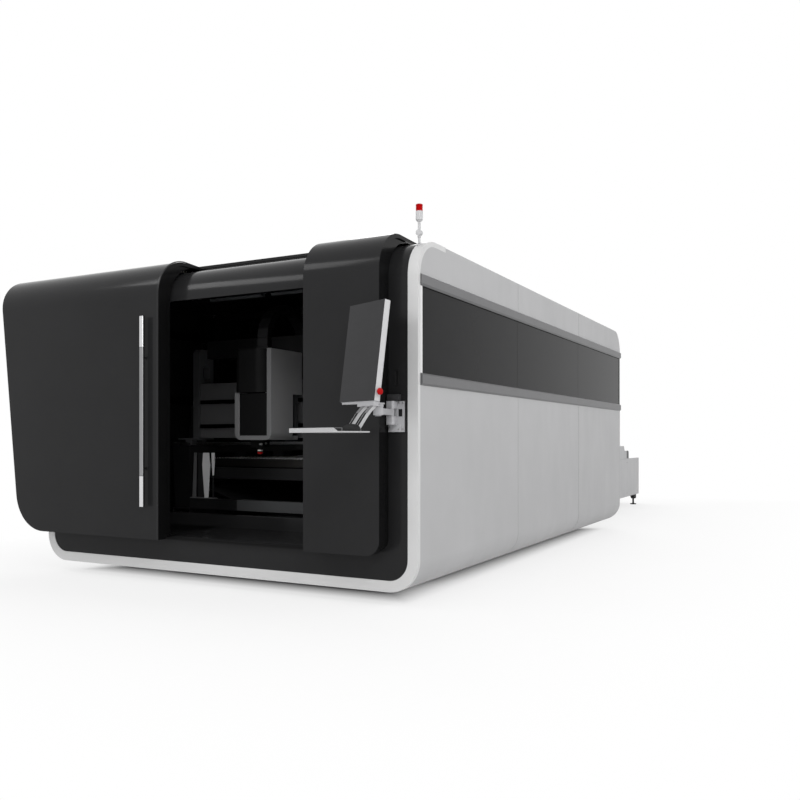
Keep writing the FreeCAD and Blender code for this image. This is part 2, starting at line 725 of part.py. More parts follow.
def gantry_end_plates():
    """Tall side plates that stand on the trucks and hold the cable tray."""
    front, back = BEAM_FRONT - 20, BEAM_BACK + 10
    sides = [(front, TRUCK_TOP, 0), (back, TRUCK_TOP, 0), (back, END_PLATE_TOP - 30, 0),
             (back - 30, END_PLATE_TOP, 0), (front + 30, END_PLATE_TOP, 0), (front, END_PLATE_TOP - 30, 0)]
    plate = slab(sides, "YZ", BEAM_HALF, BEAM_HALF + END_PLATE)
    window = clipped((front + 60, back - 60), (BEAM_TOP + 30, BEAM_TOP + 180), 30)
    return both_sides([plate.cut(slab(window, "YZ", BEAM_HALF - 1, BEAM_HALF + END_PLATE + 1))])


def gantry_trucks():
    """Each side: a foot plate on two bearing blocks that straddle the guide rail."""
    y = (BEAM_FRONT - 30, BEAM_BACK + 12)
    pieces = [box((BEAM_HALF - 2, BED_OUTSIDE + 20), y, (TRUCK_BOTTOM, TRUCK_TOP))]
    clear = GUIDE_WIDTH / 2 + RUNNING_GAP
    rail = (GUIDE_MIDDLE - clear, GUIDE_MIDDLE + clear)
    top = RAIL_BEAM_TOP + GUIDE_HEIGHT + RUNNING_GAP
    block_x = (GUIDE_MIDDLE - 38, GUIDE_MIDDLE + 38)
    for start in (y[0] + 5, y[1] - 75):
        block = box(block_x, (start, start + 70), (RAIL_BEAM_TOP + 6, TRUCK_BOTTOM))
        pieces.append(block.cut(box(rail, (start, start + 70), (RAIL_BEAM_TOP, top))))
    return both_sides([fused(pieces)])


def gantry_motors():
    """A servo motor and gearbox standing on each truck."""
    x, y = BEAM_HALF + END_PLATE + 52, (BEAM_FRONT + BEAM_BACK) / 2
    gearbox = box((x - 45, x + 45), (y - 45, y + 45), (TRUCK_TOP, TRUCK_TOP + 110))
    motor = slab(clipped((x - 40, x + 40), (y - 40, y + 40), 8), "XY", TRUCK_TOP + 110, TRUCK_TOP + 300)
    cap = prism(33, (x, y, TRUCK_TOP + 300), (0, 0, 1), 40)
    return both_sides([fused([gearbox, motor, cap])])


def beam_rails():
    rails = []
    for z in X_RAIL_LEVELS:
        low, high = z - X_RAIL_HEIGHT / 2, z + X_RAIL_HEIGHT / 2
        front = BEAM_FRONT - X_RAIL_DEPTH
        section = [(BEAM_FRONT, low, 0), (BEAM_FRONT, high, 0), (BEAM_FRONT - 8, high, 0),
                   (BEAM_FRONT - 12, high - 5, 0), (front + 6, high, 0), (front, high, 0),
                   (front, low, 0), (front + 6, low, 0), (BEAM_FRONT - 12, low + 5, 0),
                   (BEAM_FRONT - 8, low, 0)]
        rails.append(slab(section, "YZ", 20 - BEAM_HALF, BEAM_HALF - 20))
    return rails


def cable_tray():
    """A folded channel between the end plates, open at the top."""
    front, back = TRAY_FRONT, TRAY_FRONT + TRAY_WIDTH
    path = [(back, TRAY_TOP, 0), (back, TRAY_BOTTOM, 0), (front, TRAY_BOTTOM, 0), (front, TRAY_TOP, 0)]
    return [folded(path, -4, "YZ", -BEAM_HALF, BEAM_HALF)]


def chain_link_bar(start, end, count, y, z):
    """A straight run of cable chain: blocks joined by a thinner core."""
    pitch = (end - start) / count
    run = [box((start, end), (y[0] + 4, y[1] - 4), (z[0] + 6, z[1] - 6))]
    for i in range(count):
        left = start + i * pitch
        run.append(box((left + 3, left + pitch - 3), y, z))
    return fused(run)


def cable_chain():
    """The chain's lower run, lying in the tray."""
    y = (TRAY_FRONT + 25, TRAY_FRONT + 25 + CHAIN_WIDTH)
    z = (TRAY_BOTTOM + 4, TRAY_BOTTOM + 4 + CHAIN_THICK)
    return [chain_link_bar(CHAIN_START, CHAIN_END, 8, y, z)]


# --- carriage and head ----------------------------------------------------------------
def carriage_housing():
    """A cast frame, U-shaped from the front, with a tall right wall cut away behind."""
    left, right, bottom = CARRIAGE_LEFT, CARRIAGE_RIGHT, CARRIAGE_BOTTOM
    inner_left, inner_right = CARRIAGE_INSIDE
    floor = bottom + CARRIAGE_FLOOR
    section = [(right, CARRIAGE_TOP, 0), (inner_right, CARRIAGE_TOP, 0), (inner_right, floor, 0),
               (inner_left, floor, 0), (inner_left, SHORT_WALL_TOP, 0),
               (left, SHORT_WALL_TOP, 0), (left, bottom, CARRIAGE_CORNER), (right, bottom, CARRIAGE_CORNER)]
    frame = slab(section, "XZ", CARRIAGE_FRONT, CARRIAGE_BACK)
    edge, beyond = NOTCH_FRONT - NOTCH_CORNER - 1, CARRIAGE_BACK + 10
    notch = [(NOTCH_FRONT, NOTCH_TOP, 0), (beyond, NOTCH_TOP, 0), (beyond, bottom - 10, 0),
             (edge, bottom - 10, 0), (edge, bottom, 0), (NOTCH_FRONT, bottom, NOTCH_CORNER)]
    notch = slab(notch, "YZ", inner_right - 1, right + 10)
    half_x, half_y = PASSAGE_HALF
    passage = box((HEAD_X - half_x, HEAD_X + half_x), (HEAD_Y - half_y, HEAD_Y + half_y),
                  (bottom - 10, floor + 10))
    return [frame.cut(notch).cut(passage)]


def carriage_window():
    """The dark panel between the frame's walls."""
    left, right = CARRIAGE_INSIDE
    low, high = CARRIAGE_BOTTOM + CARRIAGE_FLOOR, SHORT_WALL_TOP - 8
    return [box((left, right), (CARRIAGE_FRONT + 10, CARRIAGE_FRONT + 14), (low, high))]


def carriage_cover():
    """The black cover above the frame, its front corners rounded."""
    left, right = CARRIAGE_LEFT + 4, CARRIAGE_INSIDE[1]
    front = CARRIAGE_FRONT - 14
    path = [(left, SLIDE_FRONT, 0), (left, front, 50), (right, front, 110), (right, SLIDE_FRONT, 0)]
    wall = folded(path, 4, "XY", SHORT_WALL_TOP, CARRIAGE_TOP - 4)
    lid = slab(path, "XY", CARRIAGE_TOP - 4, CARRIAGE_TOP)
    return [fused([wall, lid])]


def carriage_slide():
    """The back plate, with four bearing blocks that straddle the beam's rails."""
    left, right = CARRIAGE_INSIDE
    back, gap = SLIDE_FRONT + 22, RUNNING_GAP
    pieces = [box((left, right), (SLIDE_FRONT, back), (X_RAIL_LEVELS[0] - 60, X_RAIL_LEVELS[1] + 60))]
    rail_y = (BEAM_FRONT - X_RAIL_DEPTH - gap, BEAM_FRONT)
    for z in X_RAIL_LEVELS:
        rail_z = (z - X_RAIL_HEIGHT / 2 - gap, z + X_RAIL_HEIGHT / 2 + gap)
        for start in (left, right - 80):
            block = box((start, start + 80), (back, BEAM_FRONT - 6), (z - 34, z + 34))
            pieces.append(block.cut(box((start, start + 80), rail_y, rail_z)))
    return [fused(pieces)]


def on_arch(radius, turn):
    """A (y, z) corner on a circle of the arch, turned from its front end."""
    centre = CARRIAGE_FRONT + 30 + ARCH_RADIUS + CHAIN_THICK / 2
    return centre - radius * math.cos(turn), ARCH_SPRING + radius * math.sin(turn), 0


def arch_link(middle, half, x):
    inner, outer = ARCH_RADIUS - CHAIN_THICK / 2, ARCH_RADIUS + CHAIN_THICK / 2
    ends = (middle - half, middle + half)
    corners = [on_arch(inner, turn) for turn in ends] + [on_arch(outer, turn) for turn in ends[::-1]]
    return slab(corners, "YZ", *x)


def chain_arch():
    """The arch of cable chain over the carriage: a straight leg, then half a circle."""
    x = (ARCH_LEFT, ARCH_LEFT + CHAIN_WIDTH)
    core_x = (x[0] + 5, x[1] - 5)
    inner, outer = ARCH_RADIUS - CHAIN_THICK / 2 + 7, ARCH_RADIUS + CHAIN_THICK / 2 - 7
    step = math.pi / ARCH_LINKS
    turns = [step * i for i in range(ARCH_LINKS + 1)]
    ring = [on_arch(outer, turn) for turn in turns] + [on_arch(inner, turn) for turn in turns[::-1]]
    links = [slab(ring, "YZ", *core_x)]
    for turn in turns[:-1]:
        links.append(arch_link(turn + step / 2, step * 0.43, x))
    front = on_arch(ARCH_RADIUS + CHAIN_THICK / 2, 0)[0]
    base = CARRIAGE_TOP
    links.append(box(core_x, (front + 7, front + CHAIN_THICK - 7), (base, ARCH_SPRING)))
    links.append(box(x, (front, front + CHAIN_THICK), (base + 24, ARCH_SPRING - 6)))
    links.append(box((x[0] - 10, x[1] + 10), (front - 5, front + CHAIN_THICK + 10), (base, base + 18)))
    return [fused(links)]


def z_slide():
    """The head's slide: a plate on the back plate's face and the block it carries."""
    x = (HEAD_X - 60, HEAD_X + 60)
    back = SLIDE_FRONT - RUNNING_GAP
    front = back - 26
    plate = box(x, (front, back), (HEAD_TOP - 30, HEAD_TOP + 350))
    arm = box((x[0] + 15, x[1] - 15), (HEAD_Y - 45, front), (HEAD_TOP, HEAD_TOP + 60))
    rib = [(HEAD_Y + 30, HEAD_TOP + 60, 0), (front, HEAD_TOP + 60, 0), (front, HEAD_TOP + 270, 0)]
    return [fused([plate, arm, slab(rib, "YZ", HEAD_X - 6, HEAD_X + 6)])]


def cutting_head():
    """The head's body: a stepped barrel above the square block of its height sensor."""
    profile = [(HEAD_RADIUS, SENSOR_TOP), (HEAD_RADIUS, HEAD_TOP - 100), (34, HEAD_TOP - 86), (34, HEAD_TOP)]
    barrel = faceted(profile, (HEAD_X, HEAD_Y, 0))
    half_x, half_y = SENSOR_HALF
    sensor = slab(clipped((HEAD_X - half_x, HEAD_X + half_x), (HEAD_Y - half_y, HEAD_Y + half_y), 8),
                  "XY", SENSOR_BOTTOM, SENSOR_TOP)
    return [fused([barrel, sensor])]


def nozzle():
    """The ceramic ring and the cone under the sensor block."""
    profile = [(6, NOZZLE_TIP), (14, NOZZLE_TIP + 6), (20, NOZZLE_TIP + 8), (20, NOZZLE_TIP + 20),
               (26, NOZZLE_TIP + 28), (26, SENSOR_BOTTOM)]
    return [faceted(profile, (HEAD_X, HEAD_Y, 0))]


# --- the cell's frame and skins --------------------------------------------------------


def enclosure_frame():
    """Base rails, posts and roof beams of square tube, hidden behind the skins."""
    inside, outside = BASE_RAIL_IN, BASE_RAIL_IN + FRAME_TUBE
    low, high = CELL_BOTTOM + SHEET, BASE_TOP
    side = [tube((inside, outside), (low, high), FRAME_WALL, "XZ", JAMB_DEPTH, LENGTH - 45)]
    beams = []
    for y in evenly(FRAME_FIRST, FRAME_LAST, BAYS + 1):
        across = (y - FRAME_TUBE / 2, y + FRAME_TUBE / 2)
        side.append(box((inside, POST_OUT), across, (high, high + FRAME_TUBE)))
        if across[0] > BED_FRONT:
            side.append(box((BED_OUTSIDE, inside), across, (high - FRAME_TUBE, high)))
        side.append(box((POST_OUT - FRAME_TUBE, POST_OUT), across, (high + FRAME_TUBE, POST_TOP)))
        beams.append(box((-POST_OUT, POST_OUT), across, (POST_TOP, ROOF - SHEET)))
    return both_sides(side) + beams


def bay_edges():
    """Where each side panel starts and ends, front to back."""
    first = TRIM_DEPTH + PANEL_GAP
    joints = evenly(first, LENGTH, BAYS + 1)
    starts = [first] + [y + SEAM / 2 for y in joints[1:-1]]
    ends = [y - SEAM / 2 for y in joints[1:-1]] + [LENGTH]
    return list(zip(starts, ends))


def lower_skins():
    """The lower side panels, folded under the cell and flanged below the window rail."""
    x = HALF_WIDTH
    path = [(x, RAIL_BOTTOM, 0), (x, CELL_BOTTOM, BOTTOM_RADIUS), (x - BOTTOM_FLANGE, CELL_BOTTOM, 0)]
    panels = []
    for front, back in bay_edges():
        lip = box((x - LIP, x), (front, min(back, LENGTH - SHEET)), (RAIL_BOTTOM - SHEET, RAIL_BOTTOM))
        panels.append(fused([folded(path, -SHEET, "XZ", front, back), lip]))
    return panels


def upper_skins():
    """The upper side panels; the front and rear ones are rounded at the roof."""
    panels = []
    inner = ROOF - TRIM_DEPTH - PANEL_GAP
    for bay, (front, back) in enumerate(bay_edges()):
        start = [(front, GLASS_BOTTOM, 0), (front, ROOF, 0)]
        end = [(back, ROOF, 0), (back, GLASS_BOTTOM, 0)]
        if bay == 0:
            radius = TOP_RADIUS - TRIM_DEPTH - PANEL_GAP
            curl = TRIM_BACK + PANEL_GAP
            start[1:] = [(front, inner, radius), (curl, inner, 0), (curl, ROOF, 0)]
        if bay == BAYS - 1:
            end[0] = (back, ROOF, TOP_RADIUS)
        sheet = slab(start + end, "YZ", HALF_WIDTH - SHEET, HALF_WIDTH)
        sheet = sheet.cut(box((0, HALF_WIDTH + 1), (0, LENGTH), (0, RAIL_TOP)))
        lip = box((HALF_WIDTH - LIP, HALF_WIDTH), (front + LIP, min(back, LENGTH - LIP)),
                  (RAIL_TOP, RAIL_TOP + SHEET))
        panels.append(fused([sheet, lip]))
    return panels


def window_panes():
    x = (HALF_WIDTH - 8 - GLASS, HALF_WIDTH - 8)
    panes = []
    for front, back in bay_edges():
        start = max(front, TRIM_DEPTH + END_STRIP)
        panes.append(box(x, (start, min(back, LENGTH - SHEET)), (GLASS_BOTTOM, GLASS_TOP)))
    return both_sides(panes)


def window_rails():
    """The two grey rails that hold the glass, and the strip that ends it at the front."""
    out, inside, sill = HALF_WIDTH + RAIL_PROUD, HALF_WIDTH + RAIL_PROUD - RAIL_DEPTH, HALF_WIDTH + 2
    rails = []
    for low, high in ((RAIL_BOTTOM, GLASS_BOTTOM), (GLASS_TOP, RAIL_TOP)):
        section = [(inside, low, 0), (sill, low, 0), (out, low + 12, 0),
                   (out, high - 12, 0), (sill, high, 0), (inside, high, 0)]
        rails.append(slab(section, "XZ", TRIM_DEPTH + 1, LENGTH - SHEET - 2))
    strip = box((HALF_WIDTH - LIP, HALF_WIDTH), (TRIM_DEPTH + 1, TRIM_DEPTH + END_STRIP),
                (GLASS_BOTTOM, GLASS_TOP))
    return both_sides(rails + [strip])


def roof_panels():
    """Roof pans with turned-down sides; they meet over the frame's beams."""
    x = HALF_WIDTH - SHEET
    path = [(-x, ROOF - LIP, 0), (-x, ROOF, 0), (x, ROOF, 0), (x, ROOF - LIP, 0)]
    edges = [TRIM_BACK + 1] + evenly(FRAME_FIRST, FRAME_LAST, BAYS + 1)[1:-1] + [ROOF_END]
    return [folded(path, -SHEET, "XZ", front + (SEAM if i else 0), back)
            for i, (front, back) in enumerate(zip(edges, edges[1:]))]


def rear_wall():
    """Sheets round the pallet slot; the upper one curves over into the roof."""
    x = HALF_WIDTH - SHEET
    back = (LENGTH - SHEET, LENGTH)
    radius = BOTTOM_RADIUS - SHEET
    low, flange = CELL_BOTTOM + SHEET, LENGTH - SLOT_FLANGE
    lower = [(-x, low, radius), (x, low, radius), (x, SLOT_BOTTOM, 0), (-x, SLOT_BOTTOM, 0)]
    side = box((SLOT_HALF, x), back, (SLOT_BOTTOM, REAR_SHEET_TOP))
    frame = box((SLOT_HALF, SLOT_HALF + 30), (flange, LENGTH - SHEET), (SLOT_BOTTOM, REAR_SHEET_TOP))
    path = [(flange, REAR_SHEET_TOP, 0), (LENGTH, REAR_SHEET_TOP, 0), (LENGTH, ROOF, TOP_RADIUS),
            (ROOF_END + SEAM, ROOF, 0)]
    upper = folded(path, SHEET, "YZ", -x, x)
    return [slab(lower, "XZ", *back), upper] + both_sides([fused([side, frame])])


def front_trim():
    """The white band round the front: a bottom piece with round corners and two sides
    that curl back over the roof, each with a rim round the outside."""
    out, front = HALF_WIDTH, -TRIM_PROUD
    join = CELL_BOTTOM + BOTTOM_RADIUS
    path = [(-out, join, 0), (-out, CELL_BOTTOM, BOTTOM_RADIUS),
            (out, CELL_BOTTOM, BOTTOM_RADIUS), (out, join, 0)]
    bottom = fused([folded(path, TRIM_WIDTH, "XZ", front, 0), folded(path, SHEET, "XZ", front, TRIM_DEPTH)])
    top = ROOF + TRIM_PROUD
    rise = [(front, join, 0), (front, top, TOP_RADIUS + TRIM_PROUD), (TRIM_BACK, top, 0)]
    side = fused([folded(rise, -TRIM_PROUD, "YZ", out - TRIM_WIDTH, out),
                  folded(rise, -TRIM_DEPTH - TRIM_PROUD, "YZ", out - SHEET, out)])
    return [bottom] + both_sides([side])


def front_panels():
    """The black bulkhead: a panel each side of the doorway and the sill between them.
    The white band lies on the panels' edges."""
    inset = SHEET + PANEL_GAP
    edge, low, radius = HALF_WIDTH - inset, CELL_BOTTOM + inset, BOTTOM_RADIUS - inset
    left = [(-edge, low, radius), (DOORWAY_LEFT, low, 0), (DOORWAY_LEFT, LINTEL, 0), (-edge, LINTEL, 0)]
    right = [(DOORWAY_RIGHT, low, 0), (edge, low, radius), (edge, LINTEL, 0), (DOORWAY_RIGHT, LINTEL, 0)]
    left_jamb = box((DOORWAY_LEFT - SHEET, DOORWAY_LEFT), (0, JAMB_DEPTH), (SILL, LINTEL))
    right_jamb = box((DOORWAY_RIGHT, DOORWAY_RIGHT + SHEET), (0, JAMB_DEPTH), (SILL, LINTEL))
    path = [(0, low, 0), (0, SILL, 0), (SILL_DEPTH, SILL, 0), (SILL_DEPTH, SILL - 100, 0)]
    sill = folded(path, -SHEET, "YZ", DOORWAY_LEFT, DOORWAY_RIGHT)
    tread, nose = SILL + STEP_HEIGHT, SILL_DEPTH + STEP_DEPTH
    path = [(SILL_DEPTH, SILL, 0), (SILL_DEPTH, tread, 0), (nose, tread, 0), (nose, SILL - 100, 0)]
    step = folded(path, -SHEET, "YZ", -BED_INSIDE, BED_INSIDE)
    return [fused([slab(left, "XZ", 0, SHEET), left_jamb]),
            fused([slab(right, "XZ", 0, SHEET), right_jamb]), sill, step]


def lintel_cover():
    """The black curve from the doorway's head back over the roof."""
    edge = HALF_WIDTH - TRIM_WIDTH
    path = [(JAMB_DEPTH, LINTEL, 0), (0, LINTEL, 0), (0, ROOF, TOP_RADIUS), (TRIM_BACK, ROOF, 0)]
    return [folded(path, -SHEET, "YZ", -edge, edge)]


def ceiling_lights():
    """Rows of strip lights under the roof."""
    top = ROOF - SHEET
    section = [(-28, 0), (28, 0), (22, -38), (14, -44), (-14, -44), (-22, -38)]
    lights = []
    for y in evenly(LIGHT_FIRST, LIGHT_LAST, LIGHT_ROWS):
        corners = [(y + u, top + v, 0) for u, v in section]
        for x in LIGHT_SPACES:
            lights.append(slab(corners, "YZ", x, x + LIGHT_LENGTH))
    return lights


# --- hooded covers ---------------------------------------------------------------------
def hood_profile(inset, rear):
    """The side view of a cover: up its face, over its hood and back down behind."""
    out, top, back = -COVER_OUT + inset, HOOD_TOP - inset, HOOD_BACK - inset
    under = ROOF + HOOD_LIFT - (6 if inset else 0)
    return [(out, COVER_BOTTOM + inset, 0), (out, top, HOOD_RADIUS - inset),
            (back, top - HOOD_DROP, 0), (back, under, 0),
            (rear, under, TOP_RADIUS + HOOD_LIFT), (rear, COVER_BOTTOM + inset, 0)]


def hood_layer():
    """The side view of a cover's outer layer: thick on its face, thin over the roof."""
    front, back, under = -COVER_OUT, HOOD_BACK - 4, ROOF + HOOD_LIFT
    inside = front + COVER_LAYER
    return [(front, COVER_BOTTOM, 0), (front, HOOD_TOP, HOOD_RADIUS), (back, HOOD_TOP - HOOD_DROP, 0),
            (back, under, 0), (inside, under, HOOD_RADIUS - COVER_LAYER), (inside, COVER_BOTTOM, 0)]


def hooded_shell(front_view, rear):
    """A hollow cover: its side view crossed with its front view, open behind."""
    width = (min(c[0] for c in front_view) - 10, max(c[0] for c in front_view) + 10)
    depth = (-COVER_OUT - 10, HOOD_BACK + 10)

    def crossed(side_view, inset):
        view = beside(front_view, inset, closed=True)
        return slab(side_view, "YZ", *width).common(slab(view, "XZ", *depth))

    whole = crossed(hood_layer(), 0).fuse(crossed(hood_profile(0, rear), COVER_STEP))
    hollow = crossed(hood_profile(SHEET, rear + 6), COVER_STEP + SHEET)
    return whole.cut(hollow).removeSplitter()


def front_cover():
    view = [(COVER_LEFT, COVER_BOTTOM, 0), (COVER_RIGHT, COVER_BOTTOM, COVER_CORNER),
            (COVER_RIGHT, ABOVE_HOOD, 0), (COVER_LEFT, ABOVE_HOOD, 0)]
    return [hooded_shell(view, -COVER_CLEARANCE)]


def door_shell():
    slope = (DOOR_LEFT_TOP - DOOR_LEFT_BOTTOM) / (HOOD_TOP - COVER_BOTTOM)
    top_left = DOOR_LEFT_TOP + slope * (ABOVE_HOOD - HOOD_TOP)
    view = [(DOOR_LEFT_BOTTOM, COVER_BOTTOM, DOOR_CORNER), (DOOR_RIGHT, COVER_BOTTOM, 0),
            (DOOR_RIGHT, ABOVE_HOOD, 0), (top_left, ABOVE_HOOD, 0)]
    return [hooded_shell(view, -DOOR_CLEARANCE)]


def door_handle():
    """A flat bar with chamfered edges on three posts."""
    back = -COVER_OUT - HANDLE_GAP
    front = back - HANDLE_THICK
    low, high = HANDLE_X - HANDLE_WIDTH / 2, HANDLE_X + HANDLE_WIDTH / 2
    section = [(low, back, 0), (high, back, 0), (high, front + 6, 0),
               (high - 6, front, 0), (low + 6, front, 0), (low, front + 6, 0)]
    bar = slab(section, "XY", HANDLE_BOTTOM, HANDLE_TOP)
    posts = []
    for z in evenly(HANDLE_BOTTOM + 80, HANDLE_TOP - 80, 3):
        posts.append(prism(11, (HANDLE_X, back, z), (0, 1, 0), HANDLE_GAP))
    return [fused([bar] + posts)]


def hood_underside(y):
    """Height of the hood's inner face above a place on the roof."""
    start, end = SHEET - COVER_OUT, HOOD_BACK - SHEET
    return HOOD_TOP - SHEET - HOOD_DROP * (y - start) / (end - start)


def door_tracks():
    """The channel on the roof that the door hangs from and the fin that guides its foot."""
    front, back = TRACK_FRONT, TRACK_BACK
    path = [(front, ROOF + TRACK_HEIGHT, 0), (front, ROOF, 0), (back, ROOF, 0),
            (back, ROOF + TRACK_HEIGHT, 0)]
    edge = HALF_WIDTH - TRIM_WIDTH
    top = folded(path, TRACK_WALL, "YZ", -edge, COVER_LEFT - 4)
    path = [(0, FIN_BASE, 0), (-FIN_BACK, FIN_BASE, 0), (-FIN_BACK, FIN_TOP, 0)]
    fin = folded(path, -FIN_THICK, "YZ", DOOR_LEFT_BOTTOM + DOOR_CORNER, COVER_LEFT - 4)
    return [top, fin]


def door_shoes():
    """Nylon shoes: two in the roof channel and two that hold the door's foot in."""
    front, back = TRACK_FRONT, TRACK_BACK
    low = ROOF + TRACK_HEIGHT + RUNNING_GAP
    head = [(front, low, 0), (back, low, 0), (back, hood_underside(back), 0),
            (front, hood_underside(front), 0)]
    shoes = []
    for x in (DOOR_RIGHT - 240, DOOR_RIGHT - 1100):
        span = (x - SHOE / 2, x + SHOE / 2)
        tongue = box(span, (front + TRACK_WALL + 1, back - TRACK_WALL - 1),
                     (ROOF + TRACK_WALL + RUNNING_GAP, ROOF + TRACK_HEIGHT + 1))
        shoes.append(fused([tongue, slab(head, "YZ", *span)]))
    for x in (DOOR_RIGHT - 140, DOOR_RIGHT - 1000):
        span = (x - SHOE / 2, x + SHOE / 2)
        block = box(span, (-FIN_BACK - 14, -FIN_BACK + FIN_THICK + 12),
                    (COVER_BOTTOM, COVER_BOTTOM + COVER_STEP))
        groove = box(span, (-FIN_BACK - RUNNING_GAP, -FIN_BACK + FIN_THICK + RUNNING_GAP),
                     (COVER_BOTTOM, FIN_TOP + RUNNING_GAP))
        shoes.append(block.cut(groove))
    return shoes


# --- console ---------------------------------------------------------------------------
def console_bracket():
    """The wall plate with two lug blocks for the arm's pin, and the cable box above it."""
    x, y = WALL_HINGE
    left, right = BRACKET
    low, high = BRACKET_Z
    plate = box(BRACKET, (-BRACKET_PLATE, 0), BRACKET_Z)
    opening = ((right - 46, right - 16), (-BRACKET_PLATE - 1, 1), (ARM_LEVEL, ARM_LEVEL + 48))
    plate = plate.cut(box(*opening))
    flare = [(left, low, 0), (right, low, 0), (right - 29, LUG_BOTTOM, 0), (left + 23, LUG_BOTTOM, 0)]
    flare = slab(flare, "XZ", -BRACKET_PLATE - 6, -BRACKET_PLATE)
    cheek = box((x - HUB_RADIUS - 8, x - HUB_RADIUS - 4), (y - 15, -BRACKET_PLATE), (LUG_BOTTOM, high))
    lug = [(x - HUB_RADIUS - 4, -BRACKET_PLATE, 0), (x - HUB_RADIUS - 4, y - 15, 0), (x + 12, y - 15, 0),
           (LUG_BACK, y, 0), (LUG_BACK, -BRACKET_PLATE, 0)]
    bore = prism(around(HINGE_PIN + RUNNING_GAP, 12), (x, y, low), (0, 0, 1), high - low + 1)
    lugs = []
    for span in ((LUG_BOTTOM, ARM_LEVEL - RUNNING_GAP), (ARM_LEVEL + ARM_HEIGHT + RUNNING_GAP, high)):
        lugs.append(slab(lug, "XY", *span).cut(bore))
    cable_box = box(CABLE_BOX, (-34, 0), (high + 1, high + 1 + CABLE_BOX_HEIGHT))
    return [fused([plate, flare, cheek] + lugs), cable_box]


def console_arm():
    """The arm between the wall hinge and the console's pivot, with its pin."""
    (ax, ay), (bx, by) = WALL_HINGE, ARM_PIVOT
    length = math.hypot(bx - ax, by - ay)
    turn = math.degrees(math.atan2(by - ay, bx - ax))
    low, high = ARM_LEVEL, ARM_LEVEL + ARM_HEIGHT
    web = box((0, length), (-14, 14), (low + 6, high - 6))
    web.rotate(V(0, 0, 0), V(0, 0, 1), turn)
    web.translate(V(ax, ay, 0))
    hub = prism(HUB_RADIUS, (ax, ay, low), (0, 0, 1), ARM_HEIGHT)
    boss = prism(BOSS_RADIUS, (bx, by, low), (0, 0, 1), ARM_HEIGHT)
    pin = rod(HINGE_PIN, (ax, ay, LUG_BOTTOM), (0, 0, 1), BRACKET_Z[1] - LUG_BOTTOM)
    bore = prism(around(SPINDLE + RUNNING_GAP, 12), (bx, by, low - 1), (0, 0, 1), ARM_HEIGHT + 2)
    return [fused([web, hub, boss, pin]).cut(bore)]


def at_monitor(shape, tilted=True):
    """Moves a piece drawn at the monitor's lower front edge to its real place."""
    if tilted:
        shape.rotate(V(0, 0, 0), V(1, 0, 0), MONITOR_TILT)
    shape.rotate(V(0, 0, 0), V(0, 0, 1), MONITOR_TURN)
    shape.translate(V(*MONITOR_AT))
    return shape


def monitor_housing():
    """The shallow box behind the screen, its rear edges chamfered."""
    half, back = MONITOR_WIDTH / 2, MONITOR_THICK
    section = [(-half, SCREEN, 0), (half, SCREEN, 0), (half, back - 10, 0),
               (half - 10, back, 0), (10 - half, back, 0), (-half, back - 10, 0)]
    shell = slab(section, "XY", 0, MONITOR_HEIGHT)
    radius = STEM_RADIUS + around(RUNNING_GAP, 12)
    socket = prism(radius, (half - 14, back / 2, BUTTON_UP), (1, 0, 0), 20)
    return [at_monitor(shell.cut(socket))]


def monitor_screen():
    half = MONITOR_WIDTH / 2
    return [at_monitor(box((-half, half), (0, SCREEN), (0, MONITOR_HEIGHT)))]


def emergency_button():
    """A mushroom button with its stem, on the housing's right side."""
    half, top = MONITOR_WIDTH / 2, BUTTON_STAND
    profile = [(STEM_RADIUS, -8), (STEM_RADIUS, top - 13), (BUTTON_RADIUS - 3, top - 13),
               (BUTTON_RADIUS, top - 9), (BUTTON_RADIUS - 2, top - 3), (BUTTON_RADIUS - 8, top)]
    button = faceted(profile, (0, 0, 0))
    button.rotate(V(0, 0, 0), V(0, 1, 0), 90)
    button.translate(V(half, MONITOR_THICK / 2, BUTTON_UP))
    return [at_monitor(button)]


def pivot_in_monitor():
    """Where the arm's pivot lies, seen from the monitor's lower front edge."""
    offset = V(ARM_PIVOT[0] - MONITOR_AT[0], ARM_PIVOT[1] - MONITOR_AT[1], 0)
    turned = FreeCAD.Rotation(V(0, 0, 1), -MONITOR_TURN).multVec(offset)
    return turned.x, turned.y


def console_knuckle():
    """The plate under the monitor, the pivot block and the bar for the tray's arms."""
    low = MONITOR_AT[2]
    half = MONITOR_WIDTH / 2
    lean = math.tan(math.radians(MONITOR_TILT))
    front, back = 4, MONITOR_THICK - 4
    wedge = [(front, -KNUCKLE_TOP, 0), (back, -KNUCKLE_TOP, 0),
             (back, lean * back - PANEL_GAP, 0), (front, lean * front - PANEL_GAP, 0)]
    plate = at_monitor(slab(wedge, "YZ", -half + 20, half - 6), tilted=False)
    x, y = ARM_PIVOT
    top = low - KNUCKLE_TOP + 8
    base = ARM_LEVEL + ARM_HEIGHT + RUNNING_GAP
    block = prism(34, (x, y, base), (0, 0, 1), top - base)
    spindle = rod(SPINDLE, (x, y, ARM_LEVEL - 6), (0, 0, 1), base - ARM_LEVEL + 8)
    washer = prism(20, (x, y, ARM_LEVEL - 6 - RUNNING_GAP), (0, 0, 1), 6)
    u, v = pivot_in_monitor()
    shelf = [(u - 36, back - 10, 0), (u + 36, back - 10, 0), (u + 36, v + 20, 0), (u + 20, v + 36, 0),
             (u - 20, v + 36, 0), (u - 36, v + 20, 0)]
    shelf = at_monitor(slab(shelf, "XY", -KNUCKLE_TOP, -KNUCKLE_TOP + 8), tilted=False)
    bar = at_monitor(box((5, half - 6), (front, 40), (-BAR_DROP, -KNUCKLE_TOP)), tilted=False)
    return [fused([plate, block, spindle, washer, shelf, bar])]


